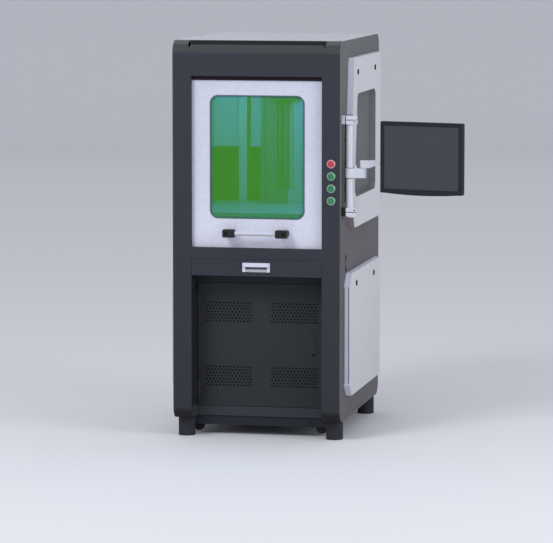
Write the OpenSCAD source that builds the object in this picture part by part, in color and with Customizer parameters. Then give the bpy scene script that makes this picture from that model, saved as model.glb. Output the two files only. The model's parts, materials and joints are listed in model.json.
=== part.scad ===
// Enclosed laser marking machine: a floor-standing cabinet with a lifting safety door,
// a keyboard drawer, a lower equipment bay and a monitor on a clamped side pole.
// X runs across the front, -Y is the operator's side, Z is up. The origin is on the floor,
// midway between the four machine feet.

/* [Cabinet] */
// Width over the side plates
cabinet_w = 720; // [680:5:900]
// Depth over the front and rear skins
cabinet_d = 940; // [780:5:1200]
// Height of the body without its feet and top cover
cabinet_h = 1604; // [1330:5:1950]
// Radius of the rolled front and rear edges
roll_r = 53; // [30:1:60]
// Thickness of the skin sheets and side plates
sheet_t = 3; // [2:0.5:4]
// Width of the front posts beside the openings
post_w = 80; // [70:1:110]
// Height of the machine feet
foot_h = 80; // [70:1:110]
// Diameter of the machine feet
foot_d = 72; // [50:1:76]

/* [Front openings] */
// Height of the fixed plinth under the lower door
plinth_h = 46; // [30:1:80]
// Height of the lower door
lower_door_h = 526; // [430:1:640]
// Height of the lintel over the lower door
lintel_h = 42; // [30:1:60]
// Height of the drawer opening
drawer_open_h = 73; // [60:1:100]
// Height of the fixed rail between drawer and lift door
rail_h = 47; // [35:1:70]
// Height of the fascia over the lift door
fascia_h = 148; // [120:1:200]
// Depth of the recess in front of the lower door
recess_d = 113; // [80:1:150]

/* [Lift door] */
// Set-back of the lift door behind the front face
door_setback = 22; // [21:1:26]
// Thickness of the folded lift door
door_t = 22; // [18:1:24]
// Width of the safety window
window_w = 396; // [300:1:460]
// Corner radius of the safety window
window_r = 30; // [10:1:60]
// Thickness of the safety window
pane_t = 6; // [4:0.5:10]
// Diameter of the handle bar
bar_d = 18; // [12:1:24]
// Distance from the door face to the bar's axis
bar_reach = 45; // [35:1:60]
// Length of the handle over its end blocks
handle_w = 278; // [200:1:340]

/* [Controls and drawer] */
// Diameter of the push-button caps
button_d = 27; // [20:1:30]
// Spacing of the push buttons
button_pitch = 51.7; // [42:0.1:60]
// Depth of the keyboard drawer tray
drawer_d = 400; // [300:5:450]
// Width of the drawer pull
pull_w = 118; // [80:1:160]
// Diameter of the punched vent holes in the lower door
vent_hole_d = 8; // [5:0.5:10]
// Spacing of the punched vent holes
vent_pitch = 15; // [12:0.5:20]

/* [Side covers] */
// Distance of the side covers' faces from the side plates
cover_proud = 24; // [20:1:30]
// Diameter of the cover locks' heads
lock_d = 24; // [18:1:28]

/* [Monitor arm] */
// Outer diameter of the pole
pole_d = 32; // [25:1:40]
// Distance from the side plate to the pole's axis
pole_out = 33.5; // [33:0.5:60]
// Distance between the two pole clamps
clamp_span = 386; // [300:1:450]
// Length of the stub arm from the pole to the elbow
stub_l = 55.5; // [50:0.5:90]
// Length of the upper arm from the elbow to the wrist
arm_l = 290; // [285:1:360]
// Width of the monitor
monitor_w = 373; // [300:1:380]
// Height of the monitor
monitor_h = 297; // [220:1:340]
// Angle that the monitor is turned towards the operator
monitor_turn = 16; // [5:1:30]

/* [Marking station] */
// Width of the work table
table_w = 640; // [520:5:660]
// Depth of the work table
table_d = 620; // [520:5:640]
// Height of the table top over the chamber floor
table_h = 136; // [90:1:180]
// Spacing of the threaded holes in the work table
table_pitch = 60; // [50:5:80]
// Diameter of the threaded holes in the work table
table_hole_d = 5; // [4:0.1:6.8]
// Distance from the chamber's ceiling down to the parked lens
lens_drop = 184; // [170:1:400]
// Outer diameter of the exhaust spigot
spigot_d = 75; // [50:1:100]

/* [Casters] */
// Diameter of the caster wheels
wheel_d = 50; // [38:1:52]
// Width of the caster wheels
wheel_w = 18; // [12:1:20]
// Trail of the caster wheels behind their swivel axis
wheel_trail = 17; // [8:1:19]

/* [Hidden] */
$fn = 64;

run_fit = 0.05; // radial clearance of a pin or shaft that turns
slide_gap = 0.3; // gap between parts that slide past each other
part_gap = 1; // visible gap between separate panels
eps = 0.01; // overcut that keeps faces from coinciding in a difference

// faces of the body
y_front = -cabinet_d / 2;
y_back = cabinet_d / 2;
z_base = foot_h;
z_top = foot_h + cabinet_h;
half_w = cabinet_w / 2;
inner_w = cabinet_w - 2 * sheet_t;
open_w = cabinet_w - 2 * post_w;
half_open = open_w / 2;

// levels of the front openings
z_plinth = z_base + plinth_h;
z_lintel = z_plinth + lower_door_h;
z_drawer = z_lintel + lintel_h;
z_rail = z_drawer + drawer_open_h;
z_floor = z_rail + rail_h;
z_fascia = z_top - fascia_h;

// slot for the lift door behind the fascia
return_d = roll_r + 3;
slot_half = half_open + 14;
slot_drop = 17;
flange_d = door_setback - 6;

// lift door
door_half = half_open + 11;
door_low = z_floor - 8;
door_high = z_fascia + 24;
window_low = z_floor + 127;
window_high = z_fascia - 85;
window_h = window_high - window_low;
window_z = (window_high + window_low) / 2;
gasket_w = 5;
handle_z = z_floor + 63;
block_l = 52;
block_h = 34;
bar_y = y_front + door_setback - bar_reach;

// door guides
rail_x = half_open + 45;
rail_w = 15;
guide_d = 14;
guide_back = y_front + 62;
carriage_h = 50;
carriage_zs = [door_low + 24, door_low + 190];

// chamber
mouth_half = half_open + 24;
liner_half = half_w - 15;
liner_t = 2;
liner_back = y_back - 180;
liner_top = z_top - 60;
port_x = -200;
port_z = liner_top - 120;

// drawer and the shelf that it stands on
shelf_z = z_drawer - 4;
tray_half = half_open - 18;
tray_t = 2;
tray_h = 48;

// lower door and its fittings
door_y = y_front + recess_d;
lower_t = 20;
hinge_r = 6;
hinge_pin_r = 3.95;
hinge_x = -half_open + hinge_r + 1;
hinge_y = door_y - hinge_r - 1;
hinge_zs = [z_plinth + 70, z_lintel - 70];
knuckle_l = 30;
vent_w = 209;
vent_h = 87;
vent_x = half_open - 137.5;
vent_zs = [z_plinth + 127.5, z_lintel - 123.5];
latch_w = 19;
latch_h = 97;
latch_x = half_open - 55;
latch_z = (z_plinth + z_lintel) / 2 + 2;

// push buttons
button_x = half_w - 40.5;
button_z0 = z_floor + 204.5;
bezel_r = 18;
bezel_t = 4;
barrel_r = 11;
stem_r = 6;
barrel_l = 22;

// side covers, measured from the front face and from the levels above
cover_t = 2;
cover_rear = cabinet_d - 99;
upper_low = z_floor + 75;
upper_high = z_top - 76;
knee_z = upper_low + 170;
upper_top_in = 181;
knee_in = 102;
upper_low_in = 207;
lower_low = z_base + 100;
lower_high = z_drawer + 8;
lower_in = 90;
corner_cut = 48;
cut_low = upper_low + 126;
cut_high = upper_high - 151;
cut_rear = cover_rear - 119;
upper_lock_y = [y_front + 273, y_front + cover_rear - 142];
upper_lock_z = upper_high - 61;
lower_lock_y = [y_front + 250, y_front + cover_rear - 163];
lower_lock_z = lower_high - 53;
lock_shaft_r = 8;
cam_t = 3;
cam_reach = 18;
cam_in = 12;

// monitor arm
pole_x = half_w + pole_out;
pole_y = y_front + 40;
pole_r = pole_d / 2;
clamp_h = 35;
clamp_base = 15.5;
clamp_out = 28;
clamp_z = [z_floor + 157.5, z_floor + 157.5 + clamp_span];
pole_l = clamp_span + 42;
bush_t = 1.5;
hub_z = z_floor + 301;
hub_h = 40;
elbow_x = pole_x + stub_l;
wrist_x = elbow_x + arm_l;
arm_pin_r = 8;
arm_z = hub_z + hub_h + 2.3;
arm_h = 31;
screen_z = arm_z + 50.7;
tilt_y = -38;
tilt_pin_r = 5;
monitor_face = -108;
bezel_d = 24;
screen_in = 34;
elbow_r = 14;
hub_wall = 2.5;
bow = 7;
bow_line = [for (i = [-8 : 8]) [i / 8 * (monitor_w / 2 - 8), (i * i / 64 - 1) * bow - 1 + i * i / 64]];

// marking station
table_t = 20;
table_z = z_floor + table_h;
table_back = liner_back - liner_t - 8;
grid_half = [180, 120];
column_w = 216;
column_d = 136;
column_y = liner_back - liner_t - column_d;
column_high = liner_top - 20;
lens_r = 43;
lens_h = 42;
lens_z = liner_top - lens_drop;
lens_y = y_front + 290;
head_w = 110;
head_h = 92;
carriage_z = lens_z + lens_h;

// casters
caster_x = half_w - 92;
caster_in = 168;
pad_h = 6;
king_r = 4;
axle_r = 3;
fork_t = 2.5;
wheel_top_gap = 10;
raceway_h = 5;
wheel_z = z_base - pad_h - raceway_h - slide_gap - wheel_top_gap - wheel_d / 2;

// colours
charcoal = "#3E4149";
side_grey = "#67696C";
pale_grey = "#BCBFC6";
door_white = "#D0D2E4";
dark_panel = "#32363A";
near_black = "#26282C";
silver = "#D6D8E2";

// Shared shapes

// Rounded rectangle about the origin, built from exact squares and circles
module rounded(w, h, r) {
    square([w - 2 * r, h], center = true);
    square([w, h - 2 * r], center = true);
    for (x = [-1, 1], y = [-1, 1])
        translate([x * (w / 2 - r), y * (h / 2 - r)]) circle(r);
}

// Stands a flat outline up across the front: x, z in the plane, t thick towards +Y
module across(t) {
    translate([0, t, 0]) rotate([90, 0, 0]) linear_extrude(t) children();
}

// Stands a flat outline up along the side: y, z in the plane, t thick towards +X
module along(t) {
    rotate([90, 0, 90]) linear_extrude(t) children();
}

// Box from its lowest to its highest corner
module block(low, high) {
    translate(low) cube(high - low);
}

// Side outline of the body, drawn smaller by inset
module body_outline(inset = 0) {
    translate([0, z_base + cabinet_h / 2])
        rounded(cabinet_d - 2 * inset, cabinet_h - 2 * inset, roll_r - inset);
}

// The rolled skin between the side plates, from y = low to y = high
module skin(low, high) {
    translate([-inner_w / 2, 0, 0]) along(inner_w)
        intersection() {
            difference() {
                body_outline();
                body_outline(sheet_t);
            }
            translate([low, z_base - eps]) square([high - low, cabinet_h + 2 * eps]);
        }
}

// Band of thickness t just inside a closed outline
module rim(points, t) {
    count = len(points);
    intersection() {
        polygon(points);
        for (i = [0 : count - 1]) {
            from = points[i];
            step = points[(i + 1) % count] - from;
            translate(from) rotate(atan2(step[1], step[0]))
                translate([-t, -t]) square([norm(step) + 2 * t, 2 * t]);
        }
    }
}

// Cabinet

module front_frame() color(charcoal) {
    difference() {
        skin(y_front, y_front + return_d);
        block([-half_open, y_front - eps, z_floor], [half_open, y_front + return_d / 2, z_fascia]);
        block([-half_open, y_front - eps, z_base - eps], [half_open, y_front + return_d + eps, z_rail]);
        block([-slot_half, y_front - eps, z_top - slot_drop],
            [slot_half, y_front + return_d + eps, z_top + eps]);
        // relief notches at both ends of the fascia's lowered edge
        for (side = [-1, 1])
            translate([side * (slot_half - 5), y_front + roll_r / 2, z_top - slot_drop])
                cube([10, roll_r, 18], center = true);
        for (i = [0 : 3])
            translate([button_x, y_front - eps, button_z0 + i * button_pitch])
                rotate([-90, 0, 0]) cylinder(r = barrel_r + 0.2, h = sheet_t + 2 * eps);
    }
    // folded edges around the lift door opening
    for (side = [-1, 1])
        translate([side * (half_open + sheet_t / 2), 0, 0])
            block([-sheet_t / 2, y_front + sheet_t, z_floor - sheet_t],
                [sheet_t / 2, y_front + flange_d, z_fascia + sheet_t]);
    for (z = [z_floor - sheet_t, z_fascia])
        block([-half_open, y_front + sheet_t, z], [half_open, y_front + flange_d, z + sheet_t]);
}

module side_plate(out) {
    translate([out > 0 ? half_w - sheet_t : -half_w, 0, 0])
        difference() {
            along(sheet_t) body_outline();
            // service opening behind the lower cover
            block([-eps, y_front + lower_in + 90, lower_low + 60],
                [sheet_t + eps, y_front + cover_rear - 90, lower_high - 90]);
        }
}

module side_plate_left() color(side_grey) side_plate(-1);

module side_plate_right() color(side_grey) {
    difference() {
        side_plate(1);
        // half-round cable slot above the lower cover
        translate([half_w - sheet_t - eps, y_front + 148, z_rail - 23])
            along(sheet_t + 2 * eps)
                intersection() {
                    difference() {
                        circle(41);
                        circle(23);
                    }
                    translate([-50, -38]) square([50, 76]);
                }
    }
    for (y = upper_lock_y) lock_keeper(y, upper_lock_z);
    for (y = lower_lock_y) lock_keeper(y, lower_lock_z);
}

// Z-shaped tab that a lock's cam turns behind
module lock_keeper(y, z) {
    lip = half_w + cover_proud - cam_in;
    block([half_w, y - 12, z + cam_reach + 4], [lip + cam_t, y + 12, z + cam_reach + 7]);
    block([lip + slide_gap, y - 12, z + cam_reach - 8], [lip + cam_t, y + 12, z + cam_reach + 7]);
}

rear_open = [[-half_open + 20, z_base + 110], [half_open - 20, z_drawer - 30]];

module rear_panel() color(charcoal) {
    difference() {
        skin(y_back - return_d, y_back);
        block([rear_open[0][0], y_back - sheet_t - eps, rear_open[0][1]],
            [rear_open[1][0], y_back + eps, rear_open[1][1]]);
        translate([port_x, y_back - sheet_t - eps, port_z])
            rotate([-90, 0, 0]) cylinder(d = spigot_d - 4, h = sheet_t + 2 * eps);
    }
    // exhaust spigot, welded on
    translate([port_x, y_back, port_z])
        rotate([-90, 0, 0])
            difference() {
                union() {
                    cylinder(d = spigot_d, h = 50);
                    cylinder(d = spigot_d + 40, h = 3);
                }
                translate([0, 0, -eps]) cylinder(d = spigot_d - 4, h = 50 + 2 * eps);
            }
}

module roof_panel() color(charcoal) {
    block([-inner_w / 2, y_front + return_d, z_top - sheet_t],
        [inner_w / 2, y_back - return_d, z_top]);
    // fold that closes the back of the door slot
    block([-slot_half, y_front + return_d, z_top - 45],
        [slot_half, y_front + return_d + sheet_t, z_top - sheet_t]);
}

module top_cover() color(pale_grey) {
    // thin sheet laid on the roof between its rolled edges
    cover_low = y_front + return_d + part_gap;
    cover_high = y_back - roll_r;
    translate([0, (cover_low + cover_high) / 2, z_top])
        linear_extrude(1.5) rounded(cabinet_w - 2, cover_high - cover_low, 4);
}

module base_frame() color(near_black) {
    difference() {
        block([-inner_w / 2, y_front + return_d, z_base],
            [inner_w / 2, y_back - return_d, z_base + sheet_t]);
        block([-half_open, y_front, z_base - eps], [half_open, door_y + 6, z_base + sheet_t + eps]);
        for (x = [-1, 1], y = [-1, 1])
            translate([x * caster_x, y * (cabinet_d / 2 - caster_in), z_base - eps])
                cylinder(r = king_r + run_fit, h = 10);
    }
    // apron across the front, between the feet
    difference() {
        block([-half_open - 14, door_y + 6, z_base - 38], [half_open + 14, door_y + 6 + sheet_t, z_base]);
        translate([half_open - 69, door_y, z_base - 19]) rotate([-90, 0, 0]) cylinder(d = 8, h = 20);
    }
    // longitudinal channels between the casters
    for (side = [-1, 1])
        difference() {
            block([side * 190 - 20, door_y + 6 + sheet_t, z_base - 30],
                [side * 190 + 20, y_back - 110, z_base]);
            block([side * 190 - 17, door_y + 6 + sheet_t + 3, z_base - 27],
                [side * 190 + 17, y_back - 113, z_base + eps]);
        }
    // pads that the casters swivel in
    for (x = [-1, 1], y = [-1, 1])
        translate([x * caster_x, y * (cabinet_d / 2 - caster_in), z_base - pad_h])
            difference() {
                cylinder(r = 17, h = pad_h);
                translate([0, 0, -eps]) cylinder(r = king_r + run_fit, h = pad_h + 2 * eps);
            }
}

foot_x = half_w - 40;
foot_y = cabinet_d / 2 - 88;

module machine_feet() color(near_black)
    for (x = [-1, 1], y = [-1, 1])
        translate([x * foot_x, y * foot_y, 0]) cylinder(d = foot_d, h = foot_h);

module chamber_liner() color("#8E9297") {
    // floor, from side plate to side plate
    block([-inner_w / 2, guide_back, z_floor - sheet_t], [inner_w / 2, liner_back, z_floor]);
    // walls, back and ceiling
    for (side = [-1, 1])
        translate([side * (liner_half + liner_t / 2), 0, 0])
            block([-liner_t / 2, guide_back, z_floor - eps], [liner_t / 2, liner_back, liner_top]);
    difference() {
        block([-liner_half, liner_back - liner_t, z_floor - eps], [liner_half, liner_back, liner_top]);
        // extraction port in line with the spigot
        translate([port_x, liner_back - liner_t - eps, port_z])
            rotate([-90, 0, 0]) cylinder(d = spigot_d - 4, h = liner_t + 2 * eps);
    }
    block([-liner_half - liner_t, guide_back, liner_top],
        [liner_half + liner_t, liner_back, liner_top + liner_t]);
    // front flanges that carry the door rails
    for (side = [-1, 1]) {
        low = side > 0 ? mouth_half : -inner_w / 2;
        block([low, guide_back, z_floor - eps],
            [low + inner_w / 2 - mouth_half, guide_back + liner_t, z_top - 20]);
    }
}

module recess_frame() color(dark_panel) {
    deep = door_y + lower_t + 1;
    // side walls of the recess
    for (side = [-1, 1])
        translate([side > 0 ? half_open : -half_open - sheet_t, 0, 0]) along(sheet_t)
            intersection() {
                body_outline(sheet_t);
                translate([y_front, z_base + sheet_t]) square([deep + 2 - y_front, shelf_z - z_base]);
            }
    // shelf under the drawer
    block([-half_open - sheet_t, y_front + 40, shelf_z],
        [half_open + sheet_t, y_front + drawer_d + 60, shelf_z + sheet_t]);
    // lintel and plinth in line with the door's face
    block([-half_open, door_y, z_lintel + 2], [half_open, door_y + sheet_t, shelf_z + eps]);
    block([-half_open, door_y, z_base + sheet_t], [half_open, door_y + sheet_t, z_plinth - 2]);
    // stop frame behind the door
    difference() {
        block([-half_open - eps, deep, z_base + sheet_t], [half_open + eps, deep + 2, shelf_z + eps]);
        block([-half_open + 14, deep - 1, z_plinth + 14], [half_open - 14, deep + 3, z_lintel - 14]);
    }
    block([-half_open, door_y, z_lintel + 2], [half_open, deep + 2, z_lintel + 2 + sheet_t]);
    block([-half_open, door_y, z_plinth - 2 - sheet_t], [half_open, deep + 2, z_plinth - 2]);
}

// Lift door

module lift_door() color(door_white) {
    door_h = door_high - door_low;
    middle = (door_high + door_low) / 2;
    translate([0, y_front + door_setback, 0])
        difference() {
            block([-door_half, 0, door_low], [door_half, door_t, door_high]);
            block([-door_half + sheet_t, sheet_t, door_low + sheet_t],
                [door_half - sheet_t, door_t + eps, door_high - sheet_t]);
            translate([0, -eps, window_z]) across(sheet_t + 2 * eps)
                rounded(window_w + 2 * gasket_w, window_h + 2 * gasket_w, window_r + gasket_w);
        }
}

module door_window() color("#46906A", 0.6)
    translate([0, y_front + door_setback + sheet_t, window_z]) across(pane_t)
        rounded(window_w + 34, window_h + 34, window_r + 14);

module window_gasket() color("#1D1F22")
    translate([0, y_front + door_setback - 1.5, window_z]) across(sheet_t + 1.5)
        difference() {
            rounded(window_w + 2 * gasket_w, window_h + 2 * gasket_w, window_r + gasket_w);
            rounded(window_w - 2, window_h - 2, window_r - 1);
        }

block_x = handle_w / 2 - block_l / 2;

module handle_blocks() color("#24272B")
    for (side = [-1, 1])
        translate([side * block_x, bar_y, handle_z])
            difference() {
                union() {
                    // head that holds the bar
                    translate([0, -11, 0]) across(26) rounded(block_l, block_h, 6);
                    // narrower foot that stands on the door
                    translate([side * 6, 15 - eps, 0]) across(bar_reach - 15 + eps)
                        rounded(block_l - 16, block_h - 8, 5);
                }
                // socket for the bar, open towards the middle
                translate([-side * block_l / 2, 0, 0]) rotate([0, 90, 0])
                    cylinder(r = bar_d / 2 + run_fit, h = 24, center = true);
                // counterbored screw hole
                translate([side * 10, -11 - eps, 0]) rotate([-90, 0, 0]) cylinder(d = 15, h = 9);
                translate([side * 10, -11, 0]) rotate([-90, 0, 0]) cylinder(d = 6.6, h = 60);
            }

module handle_bar() color(silver)
    translate([0, bar_y, handle_z]) rotate([0, 90, 0])
        cylinder(d = bar_d, h = handle_w - 2 * block_l + 23.8, center = true);

module door_carriages() color(silver)
    for (side = [-1, 1], z = carriage_zs)
        difference() {
            union() {
                // bracket from the door's folded side
                block([side > 0 ? door_half : -rail_x - 14, guide_back - 32, z],
                    [side > 0 ? rail_x + 14 : -door_half, guide_back - 22, z + carriage_h]);
                block([side * rail_x - 16, guide_back - 22 - eps, z],
                    [side * rail_x + 16, guide_back - slide_gap, z + carriage_h]);
            }
            block([side * rail_x - rail_w / 2 - slide_gap, guide_back - guide_d - slide_gap, z - eps],
                [side * rail_x + rail_w / 2 + slide_gap, guide_back + eps, z + carriage_h + eps]);
        }

module door_rails() color(silver)
    for (side = [-1, 1])
        translate([side * rail_x, 0, 0])
            difference() {
                block([-rail_w / 2, guide_back - guide_d, z_floor + 4],
                    [rail_w / 2, guide_back, z_top - 24]);
                // running grooves
                for (x = [-1, 1])
                    block([x * rail_w / 2 - 2, guide_back - 9, z_floor],
                        [x * rail_w / 2 + 2, guide_back - 5, z_top]);
            }

// Drawer

module keyboard_drawer() color(charcoal) {
    front_half = half_open - part_gap;
    low = z_drawer + part_gap;
    high = z_rail - part_gap;
    difference() {
        block([-front_half, y_front, low], [front_half, y_front + 18, high]);
        block([-front_half + tray_t, y_front + tray_t, low + tray_t],
            [front_half - tray_t, y_front + 18 + eps, high - tray_t]);
        // hole for the pull's cup
        translate([0, y_front + tray_t / 2, pull_z])
            cube([pull_w - 16, tray_t + 2 * eps, 28], center = true);
    }
    // open tray
    difference() {
        block([-tray_half, y_front + tray_t, low + tray_t],
            [tray_half, y_front + drawer_d, low + tray_h]);
        block([-tray_half + tray_t, y_front + 30, low + 2 * tray_t],
            [tray_half - tray_t, y_front + drawer_d - tray_t, low + tray_h + eps]);
        block([-tray_half + tray_t, y_front + tray_t - eps, low + 2 * tray_t],
            [tray_half - tray_t, y_front + 28, low + tray_h + eps]);
    }
    // runners that slide in the cabinet's rails
    for (side = [-1, 1])
        translate([side * (tray_half + 3), 0, 0])
            block([-3 - eps, y_front + 24, low + 16], [3, y_front + drawer_d, low + 28]);
}

pull_z = (z_drawer + z_rail) / 2 + 2;
pull_h = 39;
hood_low = 3;

module drawer_pull() color(door_white)
    translate([0, y_front, pull_z]) {
        difference() {
            union() {
                // frame on the drawer's face
                translate([0, -4, 0]) across(4) rounded(pull_w, pull_h, 3);
                // hood over the finger slot
                intersection() {
                    translate([-pull_w / 2 + 6, 0, 0]) along(pull_w - 12)
                        polygon([[0, pull_h / 2 - 2], [-5, pull_h / 2 - 3], [-11, hood_low + 2],
                            [-11, hood_low], [0, hood_low]]);
                    translate([0, -12, 0]) across(12) rounded(pull_w - 12, pull_h, 6);
                }
                // cup behind the face
                block([-pull_w / 2 + 8.1, -eps, -13.9], [pull_w / 2 - 8.1, 24, 13.9]);
            }
            // open below the hood, down to a thin lip
            block([-pull_w / 2 + 12.5, -12, -pull_h / 2 - eps], [pull_w / 2 - 12.5, -1.5, hood_low]);
            block([-pull_w / 2 + 12.5, -8, hood_low - eps], [pull_w / 2 - 12.5, -1.5, hood_low + 6]);
            // finger slot and the hollow of the cup
            block([-pull_w / 2 + 12.5, -2, -8], [pull_w / 2 - 12.5, eps, hood_low + 6]);
            block([-pull_w / 2 + 10.5, -eps, -12], [pull_w / 2 - 10.5, 22, 12]);
        }
    }

module drawer_rails() color(silver)
    for (side = [-1, 1]) {
        low = z_drawer + part_gap;
        difference() {
            // stands on the shelf, open towards the drawer
            translate([side * (tray_half + 8.5), 0, 0])
                block([-7.5, y_front + 44, shelf_z + sheet_t],
                    [7.5, y_front + drawer_d + 20, low + 34]);
            translate([side * (tray_half + 3), 0, 0])
                block([-3 - slide_gap - 2, y_front + 21, low + 16 - slide_gap],
                    [3 + slide_gap, y_front + drawer_d + 21, low + 28 + slide_gap]);
        }
    }

// Lower door

// One field of staggered punched holes, w by h, about the origin
module vent_field(w, h, depth) {
    rows = floor((h - vent_hole_d) / (vent_pitch * 0.866));
    columns = floor((w - vent_hole_d) / vent_pitch);
    for (row = [0 : rows])
        for (column = [0 : columns - row % 2])
            translate([(column - columns / 2 + (row % 2) / 2) * vent_pitch, 0,
                (row - rows / 2) * vent_pitch * 0.866])
                rotate([-90, 0, 0]) cylinder(d = vent_hole_d, h = depth);
}

module lower_door() color(dark_panel) {
    half = half_open - 3;
    low = z_plinth;
    high = z_lintel;
    difference() {
        block([-half, door_y, low], [half, door_y + lower_t, high]);
        block([-half + 2, door_y + 2, low + 2], [half - 2, door_y + lower_t + eps, high - 2]);
        for (side = [-1, 1], z = vent_zs)
            translate([side * vent_x, door_y - eps, z]) vent_field(vent_w, vent_h, 2 + 2 * eps);
        translate([latch_x, door_y + 1, latch_z])
            cube([latch_w - 4, 2 + 2 * eps, latch_h - 6], center = true);
    }
    // knuckles with their leaves on the door's face
    for (z = hinge_zs)
        difference() {
            union() {
                translate([hinge_x, hinge_y, z - knuckle_l / 2]) cylinder(r = hinge_r, h = knuckle_l);
                block([hinge_x, door_y - 2, z - knuckle_l / 2],
                    [hinge_x + 38, door_y + eps, z + knuckle_l / 2]);
                block([hinge_x, hinge_y + 3, z - knuckle_l / 2],
                    [hinge_x + 5, door_y, z + knuckle_l / 2]);
            }
            translate([hinge_x, hinge_y, z - knuckle_l])
                cylinder(r = hinge_pin_r + run_fit, h = 2 * knuckle_l);
        }
}

module door_hinges() color(near_black)
    for (z = hinge_zs) {
        for (end = [-1, 1])
            translate([hinge_x, hinge_y, z + end * (knuckle_l + 2 * slide_gap) - knuckle_l / 2])
                cylinder(r = hinge_r, h = knuckle_l);
        translate([hinge_x, hinge_y, z - 1.5 * knuckle_l - 2])
            cylinder(r = hinge_pin_r, h = 3 * knuckle_l + 4);
        // leaf on the recess wall, cleared where the door's knuckle turns
        difference() {
            block([-half_open, hinge_y - 34, z - 1.5 * knuckle_l],
                [-half_open + 2, hinge_y, z + 1.5 * knuckle_l]);
            translate([hinge_x, hinge_y, z - knuckle_l / 2 - slide_gap])
                cylinder(r = hinge_r + 0.6, h = knuckle_l + 2 * slide_gap);
        }
    }

lever_z = latch_z + latch_h / 2 - 10;

module latch_housing() color("#1F2124")
    translate([latch_x, 0, 0])
        difference() {
            union() {
                translate([0, door_y - 2, latch_z]) across(2) rounded(latch_w, latch_h, 3);
                block([-latch_w / 2 + 2.1, door_y - eps, latch_z - latch_h / 2 + 3.1],
                    [latch_w / 2 - 2.1, door_y + 16, latch_z + latch_h / 2 - 3.1]);
            }
            // pocket for the lever, with a finger hollow at its foot
            block([-latch_w / 2 + 3.7, door_y - 3, latch_z - latch_h / 2 + 5],
                [latch_w / 2 - 3.7, door_y + 14, latch_z + latch_h / 2 - 5]);
            // bore for the lever's pin
            translate([0, door_y + 4, lever_z]) rotate([0, 90, 0])
                cylinder(r = 2 + run_fit, h = latch_w - 5.6, center = true);
        }

module latch_lever() color("#17181A")
    translate([latch_x, door_y, lever_z]) {
        // flush lever hanging from its pin
        difference() {
            union() {
                block([-latch_w / 2 + 4, -1.5, -latch_h + 23], [latch_w / 2 - 4, 3, 0]);
                translate([0, 4, 0]) rotate([0, 90, 0])
                    cylinder(r = 4.5, h = latch_w - 8, center = true);
            }
            // keyhole
            translate([0, -2, -14]) rotate([-90, 0, 0]) cylinder(r = 2.5, h = 3);
        }
        translate([0, 4, 0]) rotate([0, 90, 0]) cylinder(r = 2, h = latch_w - 6, center = true);
    }

// Push buttons

module button_bezels() color(silver)
    for (i = [0 : 3])
        translate([button_x, y_front, button_z0 + i * button_pitch]) rotate([-90, 0, 0])
            difference() {
                union() {
                    translate([0, 0, -bezel_t]) cylinder(r1 = bezel_r - 2, r2 = bezel_r, h = 2);
                    translate([0, 0, -bezel_t + 2]) cylinder(r = bezel_r, h = bezel_t - 2);
                    translate([0, 0, -eps]) cylinder(r = barrel_r, h = barrel_l);
                    // lock nut behind the post
                    translate([0, 0, sheet_t + 0.2]) cylinder(r = 15, h = 4, $fn = 6);
                }
                translate([0, 0, -bezel_t - eps]) cylinder(r = button_d / 2 + 0.9, h = bezel_t);
                translate([0, 0, -eps]) cylinder(r = stem_r + run_fit, h = barrel_l + 2 * eps);
            }

// Cap and stem of the button in the given place, counted from the lowest
module push_button(place) {
    translate([button_x, y_front, button_z0 + place * button_pitch]) rotate([-90, 0, 0]) {
        translate([0, 0, -6]) cylinder(r1 = button_d / 2 - 1, r2 = button_d / 2, h = 1);
        translate([0, 0, -5]) cylinder(d = button_d, h = 1.7);
        translate([0, 0, -3.4]) cylinder(r = stem_r, h = 3.4 + barrel_l);
    }
}

module button_red() color("#D43E52") push_button(3);
module button_green_1() color("#3A8C5C") push_button(2);
module button_green_2() color("#3A8C5C") push_button(1);
module button_green_3() color("#3A8C5C") push_button(0);

// Side covers

function upper_outline() = [
    [y_front + upper_top_in, upper_high], [y_front + knee_in, knee_z], [y_front + upper_low_in, upper_low],
    [y_front + cover_rear, upper_low], [y_front + cover_rear, upper_high]];

// Depth of the upper cover's front edge at height z, above the knee
function edge_in(z) = knee_in + (upper_top_in - knee_in) * (z - knee_z) / (upper_high - knee_z);

function cut_outline() = [
    [y_front + edge_in(cut_high) + 128, cut_high], [y_front + edge_in(cut_high) + 103, cut_high - 14],
    [y_front + edge_in(cut_low) + 107, cut_low + 31], [y_front + edge_in(cut_low) + 148, cut_low],
    [y_front + cut_rear - 22, cut_low], [y_front + cut_rear, cut_low + 31],
    [y_front + cut_rear, cut_high - 24], [y_front + cut_rear - 30, cut_high]];

function lower_outline() = [
    [y_front + lower_in, lower_high - corner_cut], [y_front + lower_in, lower_low + corner_cut],
    [y_front + lower_in + corner_cut, lower_low], [y_front + cover_rear, lower_low],
    [y_front + cover_rear, lower_high], [y_front + lower_in + corner_cut, lower_high]];

// Folded pan over a closed outline, drawn for the right side
module cover_pan(points) {
    translate([half_w, 0, 0]) along(cover_proud) rim(points, cover_t);
    translate([half_w + cover_proud - cover_t, 0, 0]) along(cover_t) polygon(points);
}

module lock_holes(ys, z)
    for (y = ys)
        translate([half_w, y, z]) rotate([0, 90, 0])
            cylinder(r = lock_shaft_r + run_fit, h = cover_proud + 1);

module upper_cover() {
    difference() {
        cover_pan(upper_outline());
        translate([half_w + 1, 0, 0]) along(cover_proud) polygon(cut_outline());
    }
    // folded edges round the cut-out
    translate([half_w, 0, 0]) along(cover_proud) rim(cut_outline(), cover_t);
}

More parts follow.
